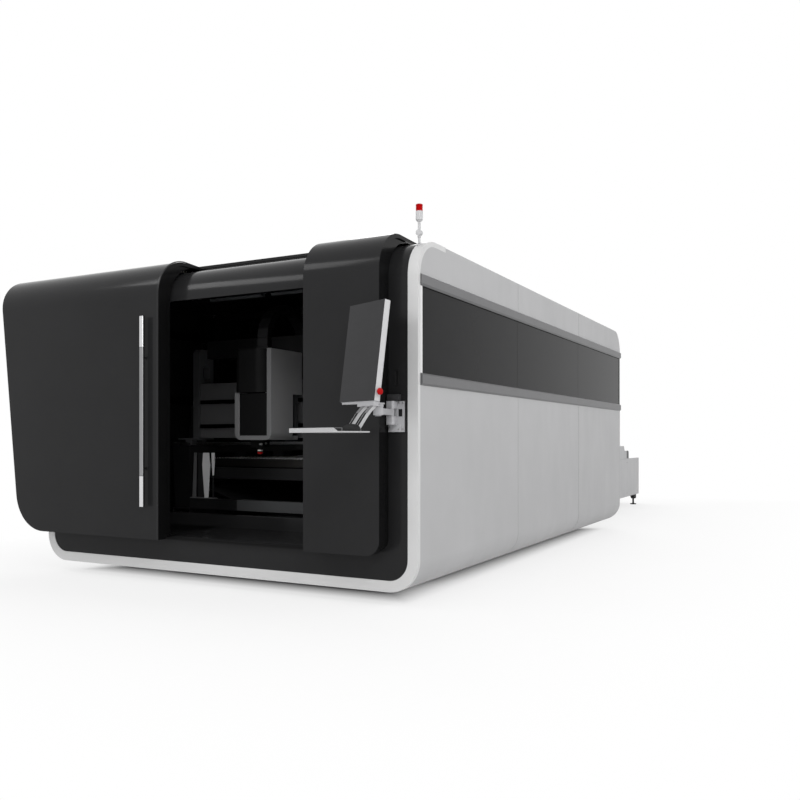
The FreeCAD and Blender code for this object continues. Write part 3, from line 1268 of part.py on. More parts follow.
def tray_arms():
    """Two flat arms that slant from the bar and turn down onto the tray's pad."""
    top, bottom = -BAR_DROP, TRAY_LEVEL + TRAY_SHEET + PAD_HEIGHT - MONITOR_AT[2]
    sides = [(6, top, 0), (32, top, 0), (-88, bottom + 26, 0), (-88, bottom, 0),
             (-112, bottom, 0), (-112, bottom + 36, 0)]
    return [at_monitor(slab(sides, "YZ", x - ARM_HALF, x + ARM_HALF), tilted=False) for x in ARM_PLACES]


def keyboard_tray():
    """The folded tray with a deep front lip, and the black pad that the arms stand on."""
    half = TRAY_SIZE[0] / 2
    near, far = -TRAY_AHEAD - TRAY_SIZE[1] / 2, -TRAY_AHEAD + TRAY_SIZE[1] / 2
    low = TRAY_LEVEL - MONITOR_AT[2]
    top, lip = low + TRAY_SHEET, low + TRAY_LIP
    section = [(near, low, 0), (far, low, 0), (far, top, 0), (near + 40, top, 0), (near + 12, lip, 0),
               (near, lip, 0)]
    tray = slab(section, "YZ", -half, half)
    pad = slab(clipped((40, 176), (-130, -78), 18), "XY", top, top + PAD_HEIGHT)
    return [at_monitor(tray, tilted=False), at_monitor(pad, tilted=False)]


# --- signal tower ----------------------------------------------------------------------
def tower_mast():
    """A stem on the trim's curve, a knuckle, the pole and the lamp's socket."""
    up, place = (0, 0, 1), (TOWER_X, TOWER_Y)
    curl = TOP_RADIUS + TRIM_PROUD
    back = TOP_RADIUS - TOWER_Y
    rise = math.sqrt(curl ** 2 - back ** 2)
    seat = ROOF - TOP_RADIUS + rise
    lean = V(0, -back, rise) / curl
    flange = prism(18, V(*place, seat) - lean * 3, lean, 12)
    flange = flange.cut(rod(curl, (TOWER_X - 30, TOP_RADIUS, ROOF - TOP_RADIUS), (1, 0, 0), 60))
    stem = prism(STEM, (*place, seat + 8), up, TOWER_KNUCKLE - seat - 8, 8)
    collar = prism(STEM + 4, (*place, TOWER_KNUCKLE - 29), up, 8)
    joint = prism(KNUCKLE_RADIUS, (TOWER_X, TOWER_Y - KNUCKLE_LENGTH / 2, TOWER_KNUCKLE),
                  (0, 1, 0), KNUCKLE_LENGTH)
    pole = prism(POLE, (*place, TOWER_KNUCKLE), up, SOCKET_BOTTOM - TOWER_KNUCKLE, 8)
    socket = faceted([(POLE + 3, SOCKET_BOTTOM), (SOCKET_RADIUS, SOCKET_BOTTOM + 13),
                      (SOCKET_RADIUS, LAMP_BOTTOM)], (*place, 0))
    return [fused([flange, stem, collar, joint, pole, socket])]


def tower_lamp():
    profile = [(LAMP_RADIUS, LAMP_BOTTOM), (LAMP_RADIUS, LAMP_TOP - 6), (LAMP_RADIUS - 5, LAMP_TOP)]
    return [faceted(profile, (TOWER_X, TOWER_Y, 0))]


# --- the whole machine -----------------------------------------------------------------
def lowered(shapes):
    """The second pallet: the same pieces, on the station's lower tier."""
    copies = []
    for shape in shapes:
        copy = shape.copy()
        copy.translate(V(0, PALLET_OUT - PALLET_FRONT, -TIER_DROP))
        copies.append(copy)
    return copies


def nodes():
    side = bed_side()
    axles = [wheel_set(y) for y in axle_places()]
    lower, upper = lower_skins(), upper_skins()
    return {
        "bed_side_right": [side],
        "bed_side_left": mirrored([side]),
        "bed_cross_beams": bed_cross_beams(),
        "levelling_feet": levelling_feet(),
        "guide_rails": guide_rails(),
        "pallet_tracks": pallet_tracks(),
        "scrap_conveyor": scrap_conveyor(),
        "guard_posts": guard_posts(),
        "gantry_beam": gantry_beam(),
        "gantry_end_plates": gantry_end_plates(),
        "gantry_trucks": gantry_trucks(),
        "gantry_motors": gantry_motors(),
        "beam_rails": beam_rails(),
        "cable_tray": cable_tray(),
        "cable_chain": cable_chain(),
        "carriage_housing": carriage_housing(),
        "carriage_covers": carriage_cover() + carriage_window(),
        "carriage_slide": carriage_slide(),
        "chain_arch": chain_arch(),
        "z_slide": z_slide(),
        "cutting_head": cutting_head(),
        "nozzle": nozzle(),
        "pallet_frame": pallet_frame(),
        "pallet_slats": pallet_slats(),
        "front_wheel_set": axles[:1],
        "rear_wheel_set": axles[1:],
        "lower_pallet_frame": lowered(pallet_frame() + axles),
        "lower_pallet_slats": lowered(pallet_slats()),
        "station_sides": station_sides(),
        "station_cross_beams": station_cross_beams(),
        "lift_cylinders": lift_cylinders(),
        "lift_frame": lift_frame(),
        "lift_tracks": lift_tracks(),
        "drive_motor": drive_motor(),
        "enclosure_frame": enclosure_frame(),
        "side_skins_right": lower + upper,
        "side_skins_left": mirrored(lower + upper),
        "window_panes": window_panes(),
        "window_rails": window_rails(),
        "roof_panels": roof_panels(),
        "rear_wall": rear_wall(),
        "front_trim": front_trim(),
        "front_panels": front_panels(),
        "lintel_cover": lintel_cover(),
        "ceiling_lights": ceiling_lights(),
        "front_cover": front_cover(),
        "door_shell": door_shell(),
        "door_handle": door_handle(),
        "door_tracks": door_tracks(),
        "door_shoes": door_shoes(),
        "console_bracket": console_bracket(),
        "console_arm": console_arm(),
        "console_knuckle": console_knuckle(),
        "monitor_housing": monitor_housing(),
        "monitor_screen": monitor_screen(),
        "emergency_button": emergency_button(),
        "tray_arms": tray_arms(),
        "keyboard_tray": keyboard_tray(),
        "tower_mast": tower_mast(),
        "tower_lamp": tower_lamp(),
    }


def place(shape, middle):
    shape.translate(V(-middle[0], -middle[1], 0))
    return shape


def main():
    os.makedirs("parts", exist_ok=True)
    built = nodes()
    whole = Part.Compound([shape for shapes in built.values() for shape in shapes]).BoundBox
    middle = ((whole.XMin + whole.XMax) / 2, (whole.YMin + whole.YMax) / 2)
    for name, shapes in built.items():
        solids = [solid for shape in shapes for solid in shape.Solids]
        place(Part.Compound(solids), middle).exportStep("parts/" + name + ".step")
    print(len(built), "nodes, middle", middle, "size", whole.XLength, whole.YLength, whole.ZLength)


main()
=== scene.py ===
"""The looks and fine details of the fiber laser cutting machine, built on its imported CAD."""
import math

import bmesh
import bpy
from mathutils import Matrix, Vector


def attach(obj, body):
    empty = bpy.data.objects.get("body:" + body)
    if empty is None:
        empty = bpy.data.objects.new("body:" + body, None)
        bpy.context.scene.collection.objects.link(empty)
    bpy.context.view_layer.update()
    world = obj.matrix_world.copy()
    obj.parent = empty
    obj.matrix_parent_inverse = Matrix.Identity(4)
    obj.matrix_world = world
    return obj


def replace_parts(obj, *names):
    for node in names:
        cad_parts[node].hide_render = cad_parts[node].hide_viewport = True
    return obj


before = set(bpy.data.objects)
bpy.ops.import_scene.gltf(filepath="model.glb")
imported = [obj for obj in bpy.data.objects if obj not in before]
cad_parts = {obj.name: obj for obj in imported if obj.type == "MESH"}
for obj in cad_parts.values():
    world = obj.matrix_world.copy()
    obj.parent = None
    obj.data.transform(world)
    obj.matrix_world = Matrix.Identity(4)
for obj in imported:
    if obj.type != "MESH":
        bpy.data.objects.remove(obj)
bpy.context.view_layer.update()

# Places are in metres from the middle of the cell's front face, on the floor: x across the
# machine, y toward its back, z up. FRONT_X and FRONT_Y say where that zero lies in the row.
FRONT_X = 0.2016
FRONT_Y = -4.4130
HALF_WIDTH = 1.725
LENGTH = 5.540
ROOF = 2.400
CELL_CENTRE = (0, LENGTH / 2, 1.25)
PALLET_TRAVEL = 4.55


def at(x, y, z):
    """The row's coordinates of a place on the machine."""
    return Vector((x + FRONT_X, y + FRONT_Y, z))


def linear(c):
    return c / 12.92 if c <= 0.04045 else ((c + 0.055) / 1.055) ** 2.4


def colour(r, g, b):
    return (linear(r), linear(g), linear(b), 1.0)


def shade(c, factor):
    return tuple(min(v * factor, 1.0) for v in c[:3]) + (1.0,)


def evenly(low, high, count):
    return [low + (high - low) * i / (count - 1) for i in range(count)]


def around(count):
    """Angles evenly round a circle."""
    return [2 * math.pi * i / count for i in range(count)]


# --- materials -----------------------------------------------------------------------------
class Nodes:
    """A small helper that adds and joins the shader nodes of a material or a world."""

    def __init__(self, owner, shader):
        owner.use_nodes = True
        self.tree = owner.node_tree
        self.shader = self.tree.nodes[shader]

    def add(self, kind, **settings):
        node = self.tree.nodes.new(kind)
        for key, value in settings.items():
            setattr(node, key, value)
        return node

    def link(self, a, b):
        self.tree.links.new(a, b)

    def feed(self, socket, value):
        """Links a node's output to a socket, or sets a plain value on it."""
        if hasattr(value, "is_output"):
            self.link(value, socket)
        else:
            socket.default_value = value

    def set(self, **values):
        """Feeds the shader's own sockets, named with _ for a space."""
        for key, value in values.items():
            self.feed(self.shader.inputs[key.replace("_", " ")], value)

    def math(self, operation, a, b=0.0):
        node = self.add("ShaderNodeMath", operation=operation)
        for socket, value in zip(node.inputs, (a, b)):
            self.feed(socket, value)
        return node.outputs[0]

    def ranged(self, value, low, high, start=0.3, end=0.7):
        """low where the value is start or less, high where it is end or more."""
        node = self.add("ShaderNodeMapRange")
        self.link(value, node.inputs["Value"])
        for key, number in (("From Min", start), ("From Max", end), ("To Min", low),
                            ("To Max", high)):
            node.inputs[key].default_value = number
        return node.outputs["Result"]

    def mixed(self, fac, a, b):
        """Colour a, or b where fac is 1. The node's sockets 6 and 7 are its colours."""
        node = self.add("ShaderNodeMix", data_type="RGBA")
        for socket, value in ((0, fac), (6, a), (7, b)):
            self.feed(node.inputs[socket], value)
        return node.outputs[2]

    def split(self, vector):
        node = self.add("ShaderNodeSeparateXYZ")
        self.link(vector, node.inputs[0])
        return node.outputs

    def show(self, shader, fac, output):
        """Shows another shader instead of the node tree's own where fac is 1."""
        mix = self.add("ShaderNodeMixShader")
        self.link(fac, mix.inputs[0])
        self.link(self.shader.outputs[0], mix.inputs[1])
        self.link(shader.outputs[0], mix.inputs[2])
        self.link(mix.outputs[0], self.tree.nodes[output].inputs["Surface"])

    def seen_directly(self):
        """1 for rays that show the surroundings: straight, in a reflection or through glass."""
        path = self.add("ShaderNodeLightPath").outputs
        straight = self.math("MAXIMUM", path["Is Camera Ray"], path["Is Glossy Ray"])
        return self.math("MAXIMUM", straight, path["Is Transmission Ray"])


class Surface(Nodes):
    """The nodes of a new material, with its object coordinates at hand."""

    def __init__(self, name):
        self.mat = bpy.data.materials.new(name)
        super().__init__(self.mat, "Principled BSDF")
        self.place = self.add("ShaderNodeTexCoord").outputs["Object"]

    def noise(self, scale, stretch=(1, 1, 1), detail=3.0, rough=0.55):
        """Noise over object coordinates that are first scaled by stretch."""
        mapping = self.add("ShaderNodeMapping")
        self.link(self.place, mapping.inputs["Vector"])
        mapping.inputs["Scale"].default_value = stretch
        node = self.add("ShaderNodeTexNoise")
        self.link(mapping.outputs["Vector"], node.inputs["Vector"])
        node.inputs["Scale"].default_value = scale
        node.inputs["Detail"].default_value = detail
        node.inputs["Roughness"].default_value = rough
        return node.outputs["Fac"]

    def bump(self, height, strength, distance):
        node = self.add("ShaderNodeBump")
        node.inputs["Strength"].default_value = strength
        node.inputs["Distance"].default_value = distance
        self.link(height, node.inputs["Height"])
        return node.outputs["Normal"]

    def normal(self, axis):
        """How far a face looks along an axis, from -1 to 1."""
        return self.split(self.add("ShaderNodeNewGeometry").outputs["Normal"])[axis]

    def within(self, axis, low, high):
        """1 where an object coordinate lies between two values, 0 elsewhere."""
        along = self.split(self.place)[axis]
        above = self.math("GREATER_THAN", along, low)
        below = self.math("LESS_THAN", along, high)
        return self.math("MULTIPLY", above, below)

    def overlap(self, spans):
        """1 where every (axis, low, high) span holds."""
        mask = self.within(*spans[0])
        for span in spans[1:]:
            mask = self.math("MULTIPLY", mask, self.within(*span))
        return mask

    def facing_in(self):
        """1 on faces that look at the middle of the cell, 0 on faces that look out of it."""
        apart = self.add("ShaderNodeVectorMath", operation="SUBTRACT")
        self.link(self.place, apart.inputs[0])
        apart.inputs[1].default_value = at(*CELL_CENTRE)
        dot = self.add("ShaderNodeVectorMath", operation="DOT_PRODUCT")
        self.link(apart.outputs[0], dot.inputs[0])
        self.link(self.add("ShaderNodeNewGeometry").outputs["True Normal"], dot.inputs[1])
        return self.math("LESS_THAN", dot.outputs["Value"], 0.0)


DUST, DUST_TOP = colour(0.45, 0.43, 0.40), 0.22
# Painted light: a painted highlight for metal spans, painted shade inside the cell and as a painted
# shadow on the bed's beam, and painted shade on the handle's sides.
PAINTED_HIGHLIGHT = colour(0.86, 0.86, 0.86)
PAINTED_SHADE = colour(0.10, 0.10, 0.105)
HANDLE_SIDE_SHADE = colour(0.12, 0.12, 0.125)

# Parts of a face's direction between which painted shade comes in on a coat or a metal.
PAINT_SIDE, METAL_SIDE = (0.5, 0.9), (0.6, 0.8)
DOWNWARD, FORWARD = (-0.9, -0.5), (-0.8, -0.5)


def paint(name, c, rough=0.4, spec=0.4, dust=0.0, peel=0.06, vary=0.05, inside_shade=None,
          flank=1.0, under=1.0, ahead=1.0, patches=()):
    """Powder coat: orange peel, slight blotches of colour and gloss, dust near the floor.
    inside_shade is the colour of painted shade on faces that look into the cell. flank, under and
    ahead paint shade on the faces at the sides, underneath and in front. patches are (spans,
    colour) pairs."""
    n = Surface(name)
    cloud = n.noise(1.7, detail=4.0)
    base = n.mixed(n.ranged(cloud, 0.0, 1.0), shade(c, 1 - vary), shade(c, 1 + vary))
    if dust:
        low = n.ranged(n.split(n.place)[2], dust, 0.0, 0.0, DUST_TOP)
        base = n.mixed(low, base, DUST)
    for spans, other in patches:
        base = n.mixed(n.overlap(spans), base, other)
    # Painted shade on the faces that look into the cell.
    if inside_shade:
        base = n.mixed(n.facing_in(), base, inside_shade)
    # Painted shade on the faces at the sides, underneath and in front.
    if flank < 1.0:
        side = n.ranged(n.math("ABSOLUTE", n.normal(0)), 0.0, 1.0, *PAINT_SIDE)
        base = n.mixed(side, base, shade(c, flank))
    if under < 1.0:
        down = n.ranged(n.normal(2), 1.0, 0.0, *DOWNWARD)
        base = n.mixed(down, base, shade(c, under))
    if ahead < 1.0:
        front = n.ranged(n.normal(1), 1.0, 0.0, *FORWARD)
        base = n.mixed(front, base, shade(c, ahead))
    smear = n.noise(6.0, (1, 1, 0.35), detail=5.0)
    dimples = n.noise(420.0, detail=2.0)
    n.set(Base_Color=base, Roughness=n.ranged(smear, rough * 0.85, rough * 1.18),
          Normal=n.bump(dimples, peel, 0.0006), Specular_IOR_Level=spec)
    return n.mat


def metal(name, c, rough=0.3, stretch=(1, 40, 40), grain=60.0, deep=0.12, light=(),
          inside_shade=None, flank=None):
    """Brushed or ground metal: streaks along one axis in gloss, colour and bump.
    light holds spans whose overlap gets a painted highlight. inside_shade is the colour of
    painted shade on faces that look into the cell, flank that of painted shade on faces at the sides."""
    n = Surface(name)
    streak = n.noise(grain, stretch, detail=6.0, rough=0.65)
    blot = n.noise(4.0, detail=4.0)
    tone = n.mixed(n.ranged(streak, 0.0, 1.0), shade(c, 0.86), shade(c, 1.08))
    tone = n.mixed(n.ranged(blot, 0.0, 0.25), tone, shade(c, 0.7))
    # Painted highlight on the spans in light.
    if light:
        tone = n.mixed(n.overlap(light), tone, PAINTED_HIGHLIGHT)
    # Painted shade on the faces that look into the cell.
    if inside_shade:
        tone = n.mixed(n.facing_in(), tone, inside_shade)
    # Painted shade on the faces at the sides.
    if flank:
        side = n.ranged(n.math("ABSOLUTE", n.normal(0)), 0.0, 1.0, *METAL_SIDE)
        tone = n.mixed(side, tone, flank)
    n.set(Base_Color=tone, Roughness=n.ranged(streak, rough * 0.75, rough * 1.3),
          Normal=n.bump(streak, deep, 0.0004), Metallic=1.0)
    return n.mat


def plastic(name, c, rough=0.5, spec=0.4, grain=900.0, deep=0.12):
    """Moulded plastic: a fine spark-eroded grain."""
    n = Surface(name)
    cloud, smear, grains = n.noise(9.0), n.noise(40.0), n.noise(grain, detail=1.0)
    base = n.mixed(n.ranged(cloud, 0.0, 1.0), shade(c, 0.94), shade(c, 1.06))
    n.set(Base_Color=base, Roughness=n.ranged(smear, rough * 0.9, rough * 1.12),
          Normal=n.bump(grains, deep, 0.0003), Specular_IOR_Level=spec)
    return n.mat


def glass(name, c, rough, spec):
    """Dark glass with faint smudges in its gloss."""
    n = Surface(name)
    smudge = n.noise(3.0, (1, 1, 2.2), detail=6.0, rough=0.7)
    base = n.mixed(n.ranged(smudge, 0.0, 1.0), shade(c, 0.93), shade(c, 1.07))
    n.set(Base_Color=base, Roughness=n.ranged(smudge, rough, rough * 1.25),
          Specular_IOR_Level=spec)
    return n.mat


def diffuser(name, c):
    """The milky cover over a row of diodes, switched off."""
    n = Surface(name)
    cloud = n.noise(18.0, detail=1.0)
    wave = n.mixed(n.ranged(cloud, 0.0, 1.0), shade(c, 0.92), c)
    n.set(Base_Color=wave, Roughness=0.4)
    return n.mat


# Spans of object coordinates: the left end of the bed's front beam, which gets a painted
# shadow, the upper box of the console's bracket, the end strip of the window, which gets a
# painted highlight, and the slats' tooth tips, which get painted glints.
BEAM_PAINTED_SHADOW = [(0, FRONT_X - 1.10, FRONT_X - 0.522), (1, FRONT_Y + 0.90, FRONT_Y + 1.06),
               (2, 0.30, 0.62)]
MOUNT_TOP = [(2, 1.341, 1.60)]
WINDOW_END_HIGHLIGHT = [(1, FRONT_Y + 0.0305, FRONT_Y + 0.0605), (2, 1.5235, 2.0855)]
SLAT_TIP_GLINT = [(2, 0.922, 0.940)]

MATERIALS = {
    # the casing
    "white": paint("white_coat", colour(0.795, 0.795, 0.795), rough=0.35, spec=0.30,
                   dust=0.08, vary=0.02),
    # Painted shade on the faces of the roof and the skins that look into the cell.
    "roof": paint("roof_coat", colour(0.74, 0.74, 0.745), rough=0.45, spec=0.30, vary=0.02,
                  inside_shade=PAINTED_SHADE),
    "silver": paint("silver_coat", colour(0.69, 0.69, 0.694), rough=0.48, spec=0.14,
                    dust=0.12, vary=0.02, inside_shade=PAINTED_SHADE),
    "station": paint("station_coat", colour(0.72, 0.72, 0.725), rough=0.45, spec=0.2,
                     dust=0.12, vary=0.02),
    # Painted highlight on the window's end strip, painted shade on faces inside the cell.
    "rail": metal("anodised_rail", colour(0.46, 0.46, 0.465), rough=0.42,
                  stretch=(40, 1, 40), grain=30.0, deep=0.05, light=WINDOW_END_HIGHLIGHT,
                  inside_shade=PAINTED_SHADE),
    # Painted shade underneath on the black coat; the cover coat is the same black, with painted shade
    # at the sides too.
    "black": paint("black_coat", colour(0.14, 0.14, 0.143), rough=0.15, spec=0.10,
                   vary=0.06, peel=0.03, under=0.1),
    "cover": paint("cover_coat", colour(0.14, 0.14, 0.143), rough=0.15, spec=0.10,
                   vary=0.06, peel=0.03, flank=0.4, under=0.1),
    "rail_black": paint("rail_coat", colour(0.14, 0.14, 0.143), spec=0.1),
    # A shade lighter than the black coat: a painted highlight on the door's rolled edge.
    "edge": paint("edge_highlight_coat", colour(0.15, 0.15, 0.153), rough=0.25, spec=0.15,
                  peel=0.03),
    "black_matt": paint("black_matt", colour(0.03, 0.03, 0.032), rough=0.55, spec=0.1,
                        vary=0.1),
    "window": glass("smoked_window", colour(0.125, 0.125, 0.128), rough=0.12, spec=0.04),
    "light": diffuser("lamp_diffuser", colour(0.36, 0.37, 0.38)),
    "nylon": plastic("nylon", colour(0.85, 0.84, 0.80)),
    # Painted shade on the sides of the handle's steels.
    "handle": metal("handle_steel", colour(0.58, 0.58, 0.585), rough=0.34,
                    stretch=(60, 60, 1), grain=40.0, deep=0.05, flank=HANDLE_SIDE_SHADE),
    "polished": metal("polished_steel", colour(0.85, 0.85, 0.855), rough=0.16,
                      stretch=(60, 60, 1), grain=40.0, deep=0.01, flank=HANDLE_SIDE_SHADE),
    # the frame, the bed, the gantry and the station
    "frame": paint("frame_coat", colour(0.10, 0.10, 0.105), rough=0.5, spec=0.25,
                   dust=0.15),
    # Painted shadow on the left end of the bed's front beam.
    "bed": paint("bed_coat", colour(0.30, 0.305, 0.31), rough=0.45, spec=0.3, dust=0.15,
                 patches=[(BEAM_PAINTED_SHADOW, PAINTED_SHADE)]),
    "bed_dark": paint("bed_side_coat", colour(0.09, 0.09, 0.095), spec=0.2, dust=0.05),
    # Painted shade on the faces of the carriage housing that look forward.
    "cast": paint("cast_coat", colour(0.655, 0.655, 0.66), spec=0.3, peel=0.2, vary=0.04,
                  ahead=0.34),
    "beam": paint("beam_coat", colour(0.37, 0.37, 0.375), spec=0.3, peel=0.2, vary=0.06),
    "motor": paint("motor_coat", colour(0.09, 0.09, 0.095), rough=0.45, spec=0.3),
    "post": paint("post_coat", colour(0.90, 0.90, 0.905), spec=0.3, vary=0.03),
    # The next two are the post paint with painted shade, lighter and deeper.
    "post_shade": paint("post_shade_coat", colour(0.40, 0.40, 0.405), spec=0.3, vary=0.03),
    "post_deep_shade": paint("post_deep_shade_coat", colour(0.16, 0.16, 0.165), spec=0.3, vary=0.03),
    "steel": metal("ground_steel", colour(0.62, 0.62, 0.63), rough=0.28,
                   stretch=(1, 1, 30), grain=40.0),
    # Painted glints on the slats' tooth tips.
    "slat": metal("slat_steel", colour(0.24, 0.235, 0.23), rough=0.5, stretch=(1, 30, 30),
                  grain=30.0, deep=0.3, light=SLAT_TIP_GLINT),
    "dark_steel": metal("black_rail", colour(0.09, 0.09, 0.095), grain=40.0, deep=0.08),
    "bolt": metal("zinc_bolt", colour(0.60, 0.60, 0.60), rough=0.35, stretch=(20, 20, 1),
                  deep=0.04),
    "chain": plastic("chain_plastic", colour(0.05, 0.05, 0.055), rough=0.55, spec=0.2),
    "copper": metal("nozzle_copper", colour(0.80, 0.50, 0.34), rough=0.25,
                    stretch=(1, 1, 40), deep=0.05),
    "ceramic": plastic("white_ceramic", colour(0.88, 0.88, 0.86), rough=0.3, spec=0.5,
                       deep=0.02),
    # the console and the signal lamp
    "console": paint("console_coat", colour(0.745, 0.745, 0.75), rough=0.35, spec=0.3,
                     vary=0.02),
    "screen": glass("screen_glass", colour(0.19, 0.19, 0.195), rough=0.15, spec=0.12),
    "tray": paint("tray_coat", colour(0.69, 0.69, 0.695), rough=0.35, spec=0.3, vary=0.02),
    "bracket": paint("bracket_coat", colour(0.66, 0.66, 0.67), rough=0.35, vary=0.03),
    "mount": paint("mount_coat", colour(0.66, 0.66, 0.67), rough=0.35, vary=0.03,
                   patches=[(MOUNT_TOP, colour(0.22, 0.22, 0.225))]),
    "arm_cover": paint("arm_cover_coat", colour(0.42, 0.42, 0.425), rough=0.35, vary=0.03),
    "rubber": plastic("black_rubber", colour(0.055, 0.055, 0.058), rough=0.6, spec=0.25,
                      grain=500.0),
    "red": plastic("red_plastic", colour(0.63, 0.03, 0.04), rough=0.4, spec=0.1, deep=0.02),
    "lens": plastic("red_lens", colour(0.67, 0.0, 0.005), rough=0.45, spec=0.06, deep=0.01),
}

# The CAD nodes that have each material.
COATED = {
    "white": ["front_trim"],
    "roof": ["roof_panels"],
    "silver": ["side_skins_right", "side_skins_left", "rear_wall"],
    "station": ["station_sides"],
    "rail": ["window_rails"],
    "window": ["window_panes"],
    "black": ["front_panels", "lintel_cover"],
    "cover": ["front_cover", "door_shell"],
    "light": ["ceiling_lights"],
    "handle": ["door_handle"],
    "nylon": ["door_shoes"],
    "black_matt": ["levelling_feet", "carriage_covers", "cutting_head", "nozzle",
                   "door_tracks"],
    "frame": ["enclosure_frame", "pallet_tracks", "scrap_conveyor", "cable_tray",
              "pallet_frame", "lower_pallet_frame", "station_cross_beams", "lift_frame"],
    "bed": ["bed_cross_beams", "gantry_end_plates", "gantry_trucks", "carriage_slide",
            "lift_tracks"],
    "bed_dark": ["bed_side_right", "bed_side_left"],
    "post": ["guard_posts"],
    "beam": ["gantry_beam"],
    "dark_steel": ["beam_rails"],
    "cast": ["carriage_housing"],
    "chain": ["cable_chain", "chain_arch"],
    "motor": ["gantry_motors", "drive_motor"],
    "steel": ["guide_rails", "z_slide", "front_wheel_set", "rear_wheel_set",
              "lift_cylinders"],
    "slat": ["pallet_slats", "lower_pallet_slats"],
    "mount": ["console_bracket"],
    "bracket": ["console_arm", "console_knuckle", "tray_arms"],
    "console": ["monitor_housing", "tower_mast"],
    "screen": ["monitor_screen"],
    "tray": ["keyboard_tray"],
    "red": ["emergency_button"],
    "lens": ["tower_lamp"],
}
MATERIAL_OF = {node: material for material, nodes in COATED.items() for node in nodes}

# CAD nodes whose edges are eased, with the width in metres.
EASED = {
    "console_bracket": 0.001,
    "console_arm": 0.0015, "console_knuckle": 0.0015, "keyboard_tray": 0.0015,
    "cutting_head": 0.002, "gantry_motors": 0.002, "carriage_slide": 0.002,
    "z_slide": 0.002, "station_cross_beams": 0.002, "lift_frame": 0.002,
    "gantry_trucks": 0.002,
    "monitor_housing": 0.003, "bed_side_right": 0.003, "bed_side_left": 0.003,
    "drive_motor": 0.003,
    "carriage_housing": 0.004, "gantry_end_plates": 0.004,
    "gantry_beam": 0.006,
}


# --- eased edges and smooth curves ---------------------------------------------------------
def geometry_group(name):
    """A modifier's empty node group, with its first and last node."""
    tree = bpy.data.node_groups.new(name, "GeometryNodeTree")
    for way in ("INPUT", "OUTPUT"):
        tree.interface.new_socket("Geometry", in_out=way, socket_type="NodeSocketGeometry")
    return tree, tree.nodes.new("NodeGroupInput"), tree.nodes.new("NodeGroupOutput")


def joined_group(distance):
    """A node group that joins the faces' corners and clears their stored normals."""
    tree, start, end = geometry_group("joined_faces")
    merge = tree.nodes.new("GeometryNodeMergeByDistance")
    merge.inputs["Distance"].default_value = distance
    clear = tree.nodes.new("GeometryNodeSetMeshNormal")
    tree.links.new(start.outputs[0], merge.inputs["Geometry"])
    tree.links.new(merge.outputs[0], clear.inputs["Mesh"])
    tree.links.new(clear.outputs[0], end.inputs[0])
    return tree


def smooth_group(angle):
    """A node group that smooths every face and keeps edges over angle sharp."""
    tree, start, end = geometry_group("smooth_by_angle")
    faces = tree.nodes.new("GeometryNodeSetShadeSmooth")
    edges = tree.nodes.new("GeometryNodeSetShadeSmooth")
    edges.domain = "EDGE"
    edges.inputs["Shade Smooth"].default_value = False
    turn = tree.nodes.new("GeometryNodeInputMeshEdgeAngle")
    over = tree.nodes.new("FunctionNodeCompare")
    over.operation = "GREATER_THAN"
    over.inputs["B"].default_value = angle
    tree.links.new(turn.outputs["Unsigned Angle"], over.inputs["A"])
    tree.links.new(start.outputs[0], faces.inputs["Geometry"])
    tree.links.new(faces.outputs[0], edges.inputs["Geometry"])
    tree.links.new(over.outputs[0], edges.inputs["Selection"])
    tree.links.new(edges.outputs[0], end.inputs[0])
    return tree


JOINED = joined_group(0.00001)
SMOOTH = smooth_group(math.radians(33))
EASED_FROM = math.radians(35)
FLAT_BELOW = math.radians(0.2)


def ease(obj, width):
    eased = obj.modifiers.new("eased_edges", "BEVEL")
    eased.width = width
    eased.segments = 2
    eased.limit_method = "ANGLE"
    eased.angle_limit = EASED_FROM


def smooth(obj):
    """Smooth curves between flat faces that stay flat."""
    obj.modifiers.new("smooth", "NODES").node_group = SMOOTH
    flat = obj.modifiers.new("flat_faces", "WEIGHTED_NORMAL")
    flat.keep_sharp = True
    flat.weight = 100


for node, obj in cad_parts.items():
    obj.data.materials.clear()
    obj.data.materials.append(MATERIALS[MATERIAL_OF[node]])
    if node in EASED:
        obj.modifiers.new("joined", "NODES").node_group = JOINED
        flat = obj.modifiers.new("whole_faces", "DECIMATE")
        flat.decimate_type = "DISSOLVE"
        flat.angle_limit = FLAT_BELOW
        ease(obj, EASED[node])
        smooth(obj)


# --- building pieces -----------------------------------------------------------------------
class Shape:
    """Vertices and faces of one piece on the machine; kind is a face's material number."""

    def __init__(self):
        self.verts, self.faces, self.kinds = [], [], []

    def add(self, verts, faces, kind=0):
        base = len(self.verts)
        self.verts += [Vector(v) for v in verts]
        self.faces += [[base + i for i in face] for face in faces]
        self.kinds += [kind] * len(faces)

    def loft(self, rings, kind=0):
        """A skin over rings of equal length, with both ends capped."""
        count = len(rings[0])
        last = (len(rings) - 1) * count
        faces = []
        for start in range(0, last, count):
            for i in range(count):
                j = (i + 1) % count
                faces.append([start + i, start + j, start + count + j, start + count + i])
        faces.append(list(range(count))[::-1])
        faces.append([last + i for i in range(count)])
        self.add([v for ring in rings for v in ring], faces, kind)

    def box(self, x, y, z, kind=0):
        self.loft([[(x[0], y[0], h), (x[1], y[0], h), (x[1], y[1], h), (x[0], y[1], h)]
                   for h in z], kind)

    def turned(self, profile, centre, axis=(0, 0, 1), sides=40, kind=0):
        """A turned piece: (radius, distance along the axis) points from end to end."""
        turn = Vector((0, 0, 1)).rotation_difference(Vector(axis)).to_matrix()
        rings = []
        for radius, along in profile:
            ring = [Vector((radius * math.cos(a), radius * math.sin(a), along))
                    for a in around(sides)]
            rings.append([turn @ v + Vector(centre) for v in ring])
        self.loft(rings, kind)

    def moved(self, matrix):
        self.verts = [matrix @ v for v in self.verts]
        return self


